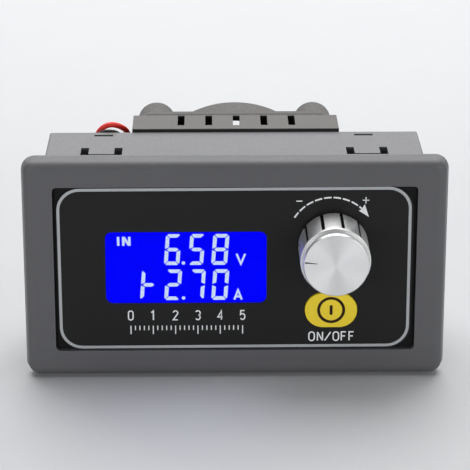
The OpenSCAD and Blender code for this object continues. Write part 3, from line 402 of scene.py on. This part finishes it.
def knob_metal():
    """Turned aluminium: spun face with a radial sheen, a neck darkened as painted shade, an engraved mark
    and grooves darkened to near black.
    """
    material, tree, shader = blank_material("knob_aluminium", {
        "Metallic": 1.0, "Anisotropic": SHEEN, "Anisotropic Rotation": SHEEN_TURN})
    tangent = tree.nodes.new("ShaderNodeTangent")
    tangent.direction_type = "RADIAL"
    tangent.axis = "Y"
    tree.links.new(tangent.outputs["Tangent"], shader.inputs["Tangent"])
    place = place_of(tree)
    depth = axes_of(tree, place)[1]
    centred = vector_step(tree, "SUBTRACT", place, (KNOB_AT[0] * MM, 0.0, KNOB_AT[1] * MM))
    flat = vector_step(tree, "MULTIPLY", centred, (1.0, 0.0, 1.0))
    radius = vector_step(tree, "LENGTH", flat, result="Value")

    def within(limit):
        """1 inside a radius."""
        return arithmetic(tree, "LESS_THAN", radius, limit * MM)

    def behind(distance):
        """1 further back from the face than a distance."""
        return arithmetic(tree, "GREATER_THAN", depth, (KNOB_FACE + distance) * MM)

    def both(first, second):
        """1 where both outputs are 1."""
        return arithmetic(tree, "MULTIPLY", first, second)

    # Near-black colour inside the grip grooves.
    groove = both(within(GROOVE_R), behind(GROOVE_START))
    engraved = both(within(MARK_R), behind(MARK_START))
    # The neck's colour is darkened by NECK_SHADE: a painted shade on the narrower neck behind the face.
    before = arithmetic(tree, "LESS_THAN", depth, (KNOB_FACE + NECK_FAR) * MM)
    neck = both(both(behind(NECK_NEAR), before), within(NECK_R))
    rings = tree.nodes.new("ShaderNodeTexNoise")
    rings.noise_dimensions = "1D"
    rings.inputs["Scale"].default_value = RING_SCALE
    rings.inputs["Detail"].default_value = 2.0
    tree.links.new(radius, rings.inputs["W"])
    turned = rings.outputs["Fac"]
    tone = mixed(tree, mapped(tree, turned), shade(KNOB_BRIGHT, RING_DARK), shade(KNOB_BRIGHT, RING_PALE))
    marked = mixed(tree, engraved, tone, MARK_GREY)
    neck_shaded = mixed(tree, neck, marked, shade(KNOB_BRIGHT, NECK_SHADE))
    tree.links.new(mixed(tree, groove, neck_shaded, GROOVE_BLACK), shader.inputs["Base Color"])
    tree.links.new(mapped(tree, turned, *KNOB_GLOSS), shader.inputs["Roughness"])
    bumped(tree, shader, turned, RING_BUMP, RING_DEPTH)
    return material


# Board: copper tracks with bends, poured areas and plated holes, in millimetres and shares
TRACK_PITCH = 1.27
TRACK_EDGES = (0.42, 0.56)
BEND_SPAN = 7.0
BEND_EDGES = (3.0, 5.0)
BEND_RISE = 2.0
AREA_SCALE = 0.13
AREA_CHANCE = 0.7
UPRIGHT_SHARE = 0.5
POUR_SHARE = 0.45
HOLE_SCALE = 0.36
HOLE_CHANCE = 0.6
HOLE_SIZE = 0.1
HOLE_FADE = 0.02
RESIST_ROUGH = 0.32
RESIST_SCALE = 700.0
COPPER_BUMP = 0.3
COPPER_DEPTH = 0.00004
BARE_GREENS = (linear(15, 66, 36), linear(19, 76, 42))
RAISED_GREENS = (linear(26, 98, 51), linear(32, 108, 58))
HOLE_TIN = linear(188, 188, 176)
HOLE_DARK = linear(30, 34, 30)


def tracks_along(tree, along, across):
    """Parallel copper tracks with slanted bends, as a 0 to 1 output."""
    bend = ramp(tree, arithmetic(tree, "PINGPONG", along, BEND_SPAN), *BEND_EDGES, top=BEND_RISE)
    shifted = arithmetic(tree, "ADD", across, bend)
    wave = arithmetic(tree, "PINGPONG", arithmetic(tree, "DIVIDE", shifted, TRACK_PITCH / 2), 1.0)
    return ramp(tree, wave, *TRACK_EDGES)


def board_material():
    """Green solder resist over copper tracks, poured areas and plated holes."""
    material, tree, shader = blank_material("solder_resist", {"Roughness": RESIST_ROUGH})
    flat = vector_step(tree, "MULTIPLY", place_of(tree), (1 / MM, 0.0, 1 / MM))
    x, _, z = axes_of(tree, flat)
    areas = texture(tree, "ShaderNodeTexVoronoi", flat, Scale=AREA_SCALE, Randomness=AREA_CHANCE)
    areas.distance = "CHEBYCHEV"
    chance = tree.nodes.new("ShaderNodeSeparateColor")
    tree.links.new(areas.outputs["Color"], chance.inputs[0])
    upright = arithmetic(tree, "GREATER_THAN", chance.outputs["Green"], UPRIGHT_SHARE)
    tracks = mixed(tree, upright, tracks_along(tree, x, z), tracks_along(tree, z, x), "FLOAT")
    poured = arithmetic(tree, "LESS_THAN", chance.outputs["Red"], POUR_SHARE)
    copper_under = arithmetic(tree, "MAXIMUM", tracks, poured)
    holes = texture(tree, "ShaderNodeTexVoronoi", flat, Scale=HOLE_SCALE, Randomness=HOLE_CHANCE)
    distance = holes.outputs["Distance"]
    plated = ramp(tree, distance, HOLE_SIZE + HOLE_FADE, HOLE_SIZE)
    drilled = ramp(tree, distance, (HOLE_SIZE + HOLE_FADE) / 2, HOLE_SIZE / 2)
    fine = mapped(tree, noise(tree, RESIST_SCALE, 3.0))
    resist = mixed(tree, copper_under, mixed(tree, fine, *BARE_GREENS), mixed(tree, fine, *RAISED_GREENS))
    ringed = mixed(tree, plated, resist, HOLE_TIN)
    tree.links.new(mixed(tree, drilled, ringed, HOLE_DARK), shader.inputs["Base Color"])
    bumped(tree, shader, copper_under, COPPER_BUMP, COPPER_DEPTH)
    return material


# Clear window: colour, refraction, gloss and the scale of its faint unevenness
CLEAR_WHITE = (1.0, 1.0, 1.0, 1.0)
CLEAR_IOR = 1.1
CLEAR_GLOSS = (0.02, 0.05)
CLEAR_SCALE = 300.0


def clear_material():
    """Clear window insert: lets the display through and keeps a soft gloss."""
    material, tree, shader = blank_material("clear_window", {
        "Base Color": CLEAR_WHITE, "Transmission Weight": 1.0, "IOR": CLEAR_IOR})
    tree.links.new(mapped(tree, noise(tree, CLEAR_SCALE, 2.0), *CLEAR_GLOSS), shader.inputs["Roughness"])
    return material


# Materials of the CAD nodes
CASE_GREY = linear(89, 89, 92)
# The case's paler edge tone is a painted highlight along its edges.
CASE_EDGE_HIGHLIGHT = shade(CASE_GREY, 1.2)
case_plastic = grained("case_plastic", CASE_GREY, rough=0.42, tint=0.05, grain=2600, bump=0.22)
worn_edges(case_plastic, CASE_EDGE_HIGHLIGHT)
soft_rim(case_plastic)
panel_plastic = grained(
    "panel_plastic", linear(18, 18, 19), rough=0.5, tint=0.1, grain=2200, bump=0.12, specular=0.15)
film = grained("film", linear(25, 25, 25), rough=0.5, tint=0.06, grain=3200, bump=0.08, specular=0.24)
clear = clear_material()
blue_glow = glowing("display_blue", linear(0, 0, 250), grain=1500, tint=0.02)
digit_glow = glowing("display_digits", linear(198, 215, 242), grain=1800, tint=0.12)
knob_skin = knob_metal()
button_plastic = grained("button_plastic", linear(240, 212, 41), rough=0.42, tint=0.04, grain=1600)
sink_metal = brushed(
    "heat_sink_metal", linear(92, 89, 86), rough=0.55, axis=0, metallic=0.1, lines=7000, bump=0.2,
    specular=0.3)
fan_plastic = grained(
    "fan_plastic", linear(75, 72, 70), rough=0.52, tint=0.07, grain=1500, bump=0.12, specular=0.3)
# Painted shade along the fan's seam where it meets the heat sink.
seam_dirt(fan_plastic)
board = board_material()
nylon = grained("nylon", linear(228, 226, 214), rough=0.45, tint=0.04, grain=1200, bump=0.08)
green_plastic = grained("terminal_green", linear(38, 128, 62), rough=0.45, tint=0.06, grain=1400, bump=0.12)
chip = grained("moulded_black", linear(34, 34, 35), rough=0.55, grain=1500, bump=0.2)
zinc = brushed("zinc_steel", linear(196, 196, 198), rough=0.34, axis=1)
black_steel = brushed("black_steel", linear(66, 66, 68), rough=0.4, axis=1)
brass = brushed("brass", linear(206, 172, 96), rough=0.34, axis=1)
tin = brushed("tinned_metal", linear(212, 212, 208), rough=0.36, axis=2)
white_plastic = grained("white_plastic", linear(236, 236, 232), rough=0.5, tint=0.03, grain=1200, bump=0.06)
insulator = grained("insulating_sheet", linear(20, 20, 20), rough=0.6, grain=900, bump=0.2)
sleeve = grained("capacitor_sleeve", linear(42, 44, 70), rough=0.38, tint=0.06, grain=1200, bump=0.06)
ferrite = grained("ferrite", linear(44, 42, 42), rough=0.65, tint=0.12, grain=1500, bump=0.2)
copper = brushed("copper_core", linear(176, 112, 64), rough=0.42, axis=1, lines=5000)

LOOKS = {
    "housing": case_plastic, "front_panel": panel_plastic, "panel_overlay": film, "display_window": clear,
    "lcd_glass": blue_glow, "lcd_backlight": white_plastic, "lcd_pins": tin, "display_board": board,
    "display_board_chips": chip, "display_board_screws": black_steel, "encoder_body": zinc,
    "encoder_bushing": zinc, "encoder_plunger": nylon, "encoder_shaft": zinc, "knob": knob_skin,
    "knob_insert": chip, "power_button": button_plastic, "switch_body": chip, "switch_plunger": nylon,
    "board_spacers": nylon, "link_socket": chip, "link_header": chip, "power_board": board,
    "power_board_chips": chip, "shunt_resistors": chip, "bulk_capacitors": sleeve, "mosfet": chip,
    "mosfet_leads": tin, "mosfet_screw": zinc, "thermal_pad": insulator, "heatsink": sink_metal,
    "heatsink_spacers": brass, "heatsink_screws": zinc, "fan_frame": fan_plastic, "fan_bearing": brass,
    "fan_stator": copper, "fan_rotor": fan_plastic, "fan_magnet": ferrite, "fan_shaft": zinc,
    "fan_screws": black_steel, "fan_header": nylon, "fan_plug": nylon, "fan_lead_red": red_wire,
    "fan_lead_black": black_wire, "input_terminal": green_plastic, "terminal_contacts": tin,
    "terminal_screw_plus": zinc, "terminal_screw_minus": zinc, "terminal_cage_plus": tin,
    "terminal_cage_minus": tin, "serial_header": nylon, "serial_contacts": brass}

# Softened edges on the CAD nodes, in millimetres
SOFT_EDGES = {
    "housing": 0.15, "panel_overlay": 0.04, "knob": 0.06, "power_button": 0.25, "heatsink": 0.1,
    "fan_frame": 0.3, "fan_rotor": 0.15, "fan_screws": 0.12, "fan_header": 0.15, "fan_plug": 0.15,
    "input_terminal": 0.2, "serial_header": 0.12, "power_board": 0.08, "terminal_screw_plus": 0.08,
    "terminal_screw_minus": 0.08, "serial_contacts": 0.1}
SHARP = math.radians(32)
SOFT_STEPS = 2
WELD_REACH = 1e-6

for name, piece in nodes.items():
    piece.data.materials.clear()
    piece.data.materials.append(LOOKS[name])
    weld = piece.modifiers.new("weld", "WELD")
    weld.merge_threshold = WELD_REACH
    if name in SOFT_EDGES:
        bevel = piece.modifiers.new("soft_edges", "BEVEL")
        bevel.width = SOFT_EDGES[name] * MM
        bevel.segments = SOFT_STEPS
        bevel.limit_method = "ANGLE"
        bevel.angle_limit = SHARP
        bevel.harden_normals = True

# Printed and lit marks are thin plates, drawn in X and Z in millimetres
FILM_FRONT = -2.5
LCD_FRONT = -2.2
BUTTON_FRONT = -2.8
INK = 0.015
MITRE_LEAST = 0.4


def plate(mesh, loop, y_back, hole=None):
    """A thin closed plate from a loop of points, with an optional hole of as many points."""
    count = len(loop)
    rings = []
    for outline in (loop, hole or []):
        for y in (y_back, y_back - INK):
            rings.append([mesh.verts.new((x * MM, y * MM, z * MM)) for x, z in outline])
    back, front, hole_back, hole_front = rings
    if hole is None:
        mesh.faces.new(back)
        mesh.faces.new(front)
    for i in range(count):
        n = (i + 1) % count
        mesh.faces.new((back[i], back[n], front[n], front[i]))
        if hole is not None:
            mesh.faces.new((hole_back[i], hole_back[n], hole_front[n], hole_front[i]))
            mesh.faces.new((back[i], back[n], hole_back[n], hole_back[i]))
            mesh.faces.new((front[i], front[n], hole_front[n], hole_front[i]))


def marks(name, body, material, y_back, shapes):
    """One piece of many thin plates; a shape is a loop and its hole, or a loop and None."""
    mesh = bmesh.new()
    for loop, hole in shapes:
        plate(mesh, loop, y_back, hole)
    bmesh.ops.recalc_face_normals(mesh, faces=mesh.faces)
    data = bpy.data.meshes.new(name)
    mesh.to_mesh(data)
    mesh.free()
    piece = bpy.data.objects.new(name, data)
    scene.collection.objects.link(piece)
    data.materials.append(material)
    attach(piece, body)


def stroke(points, width, closed=False):
    """Outline of a line of some width, with mitred corners."""
    count = len(points)
    left, right = [], []
    for i, (x, z) in enumerate(points):
        before = points[i - 1] if closed or i > 0 else None
        after = points[(i + 1) % count] if closed or i < count - 1 else None
        normals = []
        for a, b in ((before, (x, z)), ((x, z), after)):
            if a is not None and b is not None:
                along = Vector((b[0] - a[0], b[1] - a[1])).normalized()
                normals.append(Vector((-along.y, along.x)))
        middle = (normals[0] + normals[-1]).normalized()
        reach = width / 2 / max(MITRE_LEAST, middle.dot(normals[0]))
        left.append((x + middle.x * reach, z + middle.y * reach))
        right.append((x - middle.x * reach, z - middle.y * reach))
    if closed:
        return (left, right)
    return (left + right[::-1], None)


def arc(x, z, radius_x, radius_z, start, end, steps):
    """Points on an arc, with angles in degrees from +X towards +Z."""
    turns = [math.radians(start + (end - start) * i / steps) for i in range(steps + 1)]
    return [(x + radius_x * math.cos(t), z + radius_z * math.sin(t)) for t in turns]


def circle(x, z, radius, count):
    """Closed line of evenly spaced points on a circle."""
    return arc(x, z, radius, radius, 0, 360 - 360 / count, count - 1)


def rounded_frame(half_w, half_h, radius, steps=10):
    """Closed line of a rectangle with round corners."""
    points = []
    for side_x, side_z, start in ((1, 1, 0), (-1, 1, 90), (-1, -1, 180), (1, -1, 270)):
        x = side_x * (half_w - radius)
        z = side_z * (half_h - radius)
        points += arc(x, z, radius, radius, start, start + 90, steps)
    return points


def capsule(w, h, steps=8):
    """Closed line of an upright letter O in a box from the origin."""
    r = w / 2
    return arc(r, h - r, r, r, 0, 180, steps) + arc(r, r, r, r, 180, 360, steps)


def glyph(letter, w, h):
    """Lines of a plain letter or numeral, as shares of a box from the origin: (points, closed)."""
    r = w / 2
    if letter in "O0":
        return [(capsule(w, h), True)]
    lines = {
        "N": [[(0, 0), (0, h)], [(w, 0), (w, h)], [(0.08 * w, 0.94 * h), (0.92 * w, 0.06 * h)]],
        "I": [[(0, 0), (0, h)]],
        "F": [[(0, 0), (0, h), (w, h)], [(0, h * 0.52), (w * 0.85, h * 0.52)]],
        "/": [[(0, 0), (w, h)]],
        "V": [[(0, h), (w / 2, 0), (w, h)]],
        "A": [[(0, 0), (w / 2, h), (w, 0)], [(w * 0.2, h * 0.33), (w * 0.8, h * 0.33)]],
        "+": [[(0, h / 2), (w, h / 2)], [(w / 2, 0), (w / 2, h)]],
        "-": [[(0, h / 2), (w, h / 2)]],
        "1": [[(w * 0.1, h * 0.8), (w * 0.55, h), (w * 0.55, 0)]],
        "2": [arc(r, h - r, r, r, 170, -20, 8) + [(0, 0), (w, 0)]],
        "3": [arc(r, h * 0.74, r, h * 0.26, 150, -80, 8), arc(r, h * 0.27, r, h * 0.27, 80, -150, 8)],
        "4": [[(w * 0.75, 0), (w * 0.75, h), (0, h * 0.3), (w, h * 0.3)]],
        "5": [[(w * 0.92, h), (w * 0.12, h), (w * 0.06, h * 0.56)]
              + arc(r, h * 0.33, r, h * 0.33, 115, -150, 9)]}
    return [(points, False) for points in lines[letter]]


def letters(spans, z_low, z_high, width):
    """Shapes of a row of letters; each span is a letter with its left and right edge."""
    shapes = []
    inset = width / 2
    for letter, x_left, x_right in spans:
        for points, closed in glyph(letter, x_right - x_left - width, z_high - z_low - width):
            placed = [(x_left + inset + x, z_low + inset + z) for x, z in points]
            shapes.append(stroke(placed, width, closed))
    return shapes


silver_ink = grained("silver_ink", linear(174, 177, 180), rough=0.42, tint=0.05, grain=2600, bump=0.06)
white_ink = grained("white_ink", linear(238, 240, 242), rough=0.5, tint=0.05, grain=2600, bump=0.06)
dark_ink = grained("dark_ink", linear(40, 22, 8), rough=0.5, tint=0.08, grain=2600, bump=0.06, specular=0.2)

# Border line of the film, turned a little as it is printed
BORDER_HALF_W = 32.58
BORDER_HALF_H = 15.61
BORDER_R = 4.0
BORDER_WIDTH = 0.54
BORDER_AT = (-0.14, -0.02)
BORDER_TURN = math.radians(0.15)
frame_line = [
    (BORDER_AT[0] + x - z * math.sin(BORDER_TURN), BORDER_AT[1] + z + x * math.sin(BORDER_TURN))
    for x, z in rounded_frame(BORDER_HALF_W, BORDER_HALF_H, BORDER_R)]
border = [stroke(frame_line, BORDER_WIDTH, True)]
marks("print_border", "chassis", silver_ink, FILM_FRONT, border)

# Dashed arrow round the knob, with its two signs as letters, lower and upper edge, and line
DIAL_AT = (17.9, 5.84)
DIAL_R = 8.06
DASH_COUNT = 9
DASH_PITCH = 12.4
DASH_FIRST = 150.2
DASH_SPAN = 9.9
DASH_STEPS = 5
FIRST_CUT = 1.2
LAST_SHARE = 0.5
INK_LINE = 0.3
ARROW_HEAD = [(24.78, 10.07), (22.86, 11.31), (23.4, 11.62), (23.97, 12.56)]
MINUS_SIGN = ([("-", 11.2, 12.52)], 12.48, 13.98, 0.2)
PLUS_SIGN = ([("+", 23.47, 24.87)], 12.65, 14.05, 0.17)
dial = []
for i in range(DASH_COUNT):
    start = DASH_FIRST - i * DASH_PITCH
    end = start - (DASH_SPAN if i < DASH_COUNT - 1 else LAST_SHARE * DASH_SPAN)
    if i == 0:
        start -= FIRST_CUT
    dial.append(stroke(arc(*DIAL_AT, DIAL_R, DIAL_R, start, end, DASH_STEPS), INK_LINE))
dial.append((ARROW_HEAD, None))
dial += letters(*MINUS_SIGN)
dial += letters(*PLUS_SIGN)
marks("print_dial", "chassis", white_ink, FILM_FRONT, dial)

# Words under the switch
SWITCH_WORDS = (
    [("O", 13.78, 15.06), ("N", 15.4, 16.6), ("/", 16.78, 18.12), ("O", 18.36, 19.64), ("F", 19.9, 21.0),
     ("F", 21.36, 22.46)], -14.7, -12.7, 0.25)
marks("print_switch", "chassis", white_ink, FILM_FRONT, letters(*SWITCH_WORDS))

# Plain graduated scale under the display
SCALE_LEFT = -19.6
SCALE_STEP = 4.2
SCALE_END = 5
SCALE_PARTS = 5
NUMERAL_HALF = 0.55
NUMERAL_LOW = -10.35
NUMERAL_HIGH = -8.3
NUMERAL_LINE = 0.24
TICK_TOP = -11.4
TICK_LONG = 1.7
TICK_SHORT = 0.9
TICK_LINE = 0.2
scale_marks = []
for i in range(SCALE_END + 1):
    x = SCALE_LEFT + i * SCALE_STEP
    numeral = [(str(i), x - NUMERAL_HALF, x + NUMERAL_HALF)]
    scale_marks += letters(numeral, NUMERAL_LOW, NUMERAL_HIGH, NUMERAL_LINE)
    for j in range(SCALE_PARTS if i < SCALE_END else 1):
        tick = TICK_LONG if j == 0 else TICK_SHORT
        at = x + j * SCALE_STEP / SCALE_PARTS
        scale_marks.append(stroke([(at, TICK_TOP), (at, TICK_TOP - tick)], TICK_LINE))
marks("print_scale", "chassis", white_ink, FILM_FRONT, scale_marks)

# Symbol on the button: a ring and a bar
SYMBOL_AT = (18.02, -8.29)
SYMBOL_R = 2.36
SYMBOL_LINE = 0.55
SYMBOL_POINTS = 60
BAR_HALF = 0.72
BAR_END = 0.29
BAR_STEPS = 8
ring = stroke(circle(*SYMBOL_AT, SYMBOL_R, SYMBOL_POINTS), SYMBOL_LINE, True)
bar = (arc(SYMBOL_AT[0], SYMBOL_AT[1] + BAR_HALF, BAR_END, BAR_END, 0, 180, BAR_STEPS)
       + arc(SYMBOL_AT[0], SYMBOL_AT[1] - BAR_HALF, BAR_END, BAR_END, 180, 360, BAR_STEPS), None)
marks("button_symbol", "button", dark_ink, BUTTON_FRONT, [ring, bar])

# Lit segments of the display
DIGIT_W = 2.98
DIGIT_H = 6.1
DIGIT_LEAN = math.tan(math.radians(4.4))
SEGMENT = 0.7
GAP = 0.1
MIDDLE_GAP = 0.15
MIDDLE_TIP = 0.35
CORNER_CUT = 0.36
SEGMENTS = {
    "0": "abcdef", "2": "abged", "5": "afgcd", "6": "afgedc", "7": "abc", "8": "abcdefg", "-|": "efg"}


def digit(symbol, x_left, z_low, width):
    """Loops of a leaning seven-segment numeral with cut corners."""
    middle = DIGIT_H / 2
    start = GAP + CORNER_CUT
    half_cut = CORNER_CUT / 2
    inner = SEGMENT + GAP
    tip = GAP + SEGMENT * MIDDLE_TIP

    def over(loop):
        """The loop turned upside down."""
        return [(x, DIGIT_H - z) for x, z in loop]

    def across(loop):
        """The loop turned left to right."""
        return [(width - x, z) for x, z in loop]

    top_half = [(start, DIGIT_H), (GAP + half_cut, DIGIT_H - half_cut), (inner, DIGIT_H - SEGMENT)]
    top = top_half + across(top_half)[::-1]
    bridge_half = [(inner, middle - SEGMENT / 2), (tip, middle), (inner, middle + SEGMENT / 2)]
    bridge = bridge_half + across(bridge_half)[::-1]
    side = [
        (0, middle + MIDDLE_GAP), (0, DIGIT_H - start), (half_cut, DIGIT_H - GAP - half_cut),
        (SEGMENT, DIGIT_H - inner), (SEGMENT, middle + SEGMENT / 2 + GAP)]
    loops = {
        "a": top, "d": over(top), "g": bridge, "f": side, "e": over(side), "b": across(side),
        "c": across(over(side))}
    return [
        ([(x_left + x + z * DIGIT_LEAN, z_low + z) for x, z in loops[segment]], None)
        for segment in SEGMENTS[symbol]]


# Rows of the display: lower edge, and each numeral with its left edge and width
UPPER = 0.66
LOWER = -6.33
READINGS = {
    UPPER: (("6", -13.3, 2.9), ("5", -8.78, 2.8), ("8", -4.49, DIGIT_W)),
    LOWER: (("-|", -17.83, 2.85), ("2", -13.31, DIGIT_W), ("7", -8.76, 2.85), ("0", -4.5, DIGIT_W))}
DOT_X = -9.65
DOT_RISE = 0.4
DOT_R = 0.33
DOT_POINTS = 24
UNITS = (
    ([("I", -21.95, -21.47), ("N", -21.0, -19.42)], 4.28, 6.5, 0.46),
    ([("V", 0.08, 2.06)], 0.66, 3.02, 0.38),
    ([("A", -0.35, 1.44)], -6.5, -4.2, 0.38))
lit = []
for z_low, numerals in READINGS.items():
    for symbol, x_left, width in numerals:
        lit += digit(symbol, x_left, z_low, width)
for z_low in READINGS:
    lit.append((circle(DOT_X, z_low + DOT_RISE, DOT_R, DOT_POINTS), None))
for unit in UNITS:
    lit += letters(*unit)
marks("display_segments", "chassis", digit_glow, LCD_FRONT, lit)

# Floor that meets the bezel's lower edge and, 40.4 mm behind and 1.5 mm higher, the fan's lower lobes
FLOOR_Z = -21.5
FLOOR_TILT = math.atan2(1.5, 40.4)
FLOOR_R = 2.4
SWEEP_R = 0.6
WALL_TOP = 1.2
SWEEP_STEPS = 12
ROUND_STEPS = 96


def sweep_floor():
    """Round studio floor that curves up into a wall on every side."""
    profile = [(FLOOR_R, 0.0)]
    for i in range(1, SWEEP_STEPS + 1):
        turn = math.radians(90) * i / SWEEP_STEPS
        profile.append((FLOOR_R + SWEEP_R * math.sin(turn), SWEEP_R * (1 - math.cos(turn))))
    profile.append((FLOOR_R + SWEEP_R, WALL_TOP))
    turns = [math.tau * i / ROUND_STEPS for i in range(ROUND_STEPS)]
    mesh = bmesh.new()
    rings = []
    for radius, height in profile:
        rings.append([mesh.verts.new((radius * math.cos(t), radius * math.sin(t), height)) for t in turns])
    mesh.faces.new(rings[0])
    for low, high in zip(rings, rings[1:]):
        for i in range(ROUND_STEPS):
            n = (i + 1) % ROUND_STEPS
            mesh.faces.new((low[i], low[n], high[n], high[i])).smooth = True
    data = bpy.data.meshes.new("floor")
    mesh.to_mesh(data)
    mesh.free()
    return bpy.data.objects.new("floor", data)


floor = sweep_floor()
scene.collection.objects.link(floor)
floor.location = (0.0, 0.0, FLOOR_Z * MM)
floor.rotation_euler = (FLOOR_TILT, 0.0, 0.0)
pale_floor = grained(
    "pale_floor", linear(191, 192, 194), rough=0.6, tint=0.012, grain=60, bump=0.02, blotch=2)
floor.data.materials.append(pale_floor)

# Soft lamps: name, place, aim and size in metres, and power in watts
LAMPS = (
    ("top", (0.0, 0.25, 0.75), (0.0, 0.0, 0.0), (0.9, 0.7), 8.0),
    ("front_left", (-1.05, -1.65, 0.46), (0.0, 0.0, 0.02), (1.1, 0.93), 11.0),
    ("front_right", (1.05, -1.65, 0.46), (0.0, 0.0, 0.02), (1.1, 0.93), 10.4),
    ("right", (0.8, -0.1, 0.3), (0.0, 0.0, 0.0), (0.3, 0.6), 1.0),
    ("back", (0.0, 0.7, 0.35), (0.0, 0.0, 0.0), (1.4, 0.5), 4.3))
for name, place, aim, size, power in LAMPS:
    lamp_data = bpy.data.lights.new(name, "AREA")
    lamp_data.shape = "RECTANGLE"
    lamp_data.size, lamp_data.size_y = size
    lamp_data.energy = power
    lamp = bpy.data.objects.new(name, lamp_data)
    scene.collection.objects.link(lamp)
    lamp.location = place
    lamp.rotation_euler = (Vector(aim) - Vector(place)).to_track_quat("-Z", "Y").to_euler()

# Faint even light from all round
WORLD_COLOR = linear(205, 210, 216)
WORLD_STRENGTH = 0.12
world = bpy.data.worlds.new("studio")
world.use_nodes = True
background = world.node_tree.nodes["Background"]
background.inputs["Color"].default_value = WORLD_COLOR
background.inputs["Strength"].default_value = WORLD_STRENGTH
scene.world = world

bpy.context.view_layer.update()
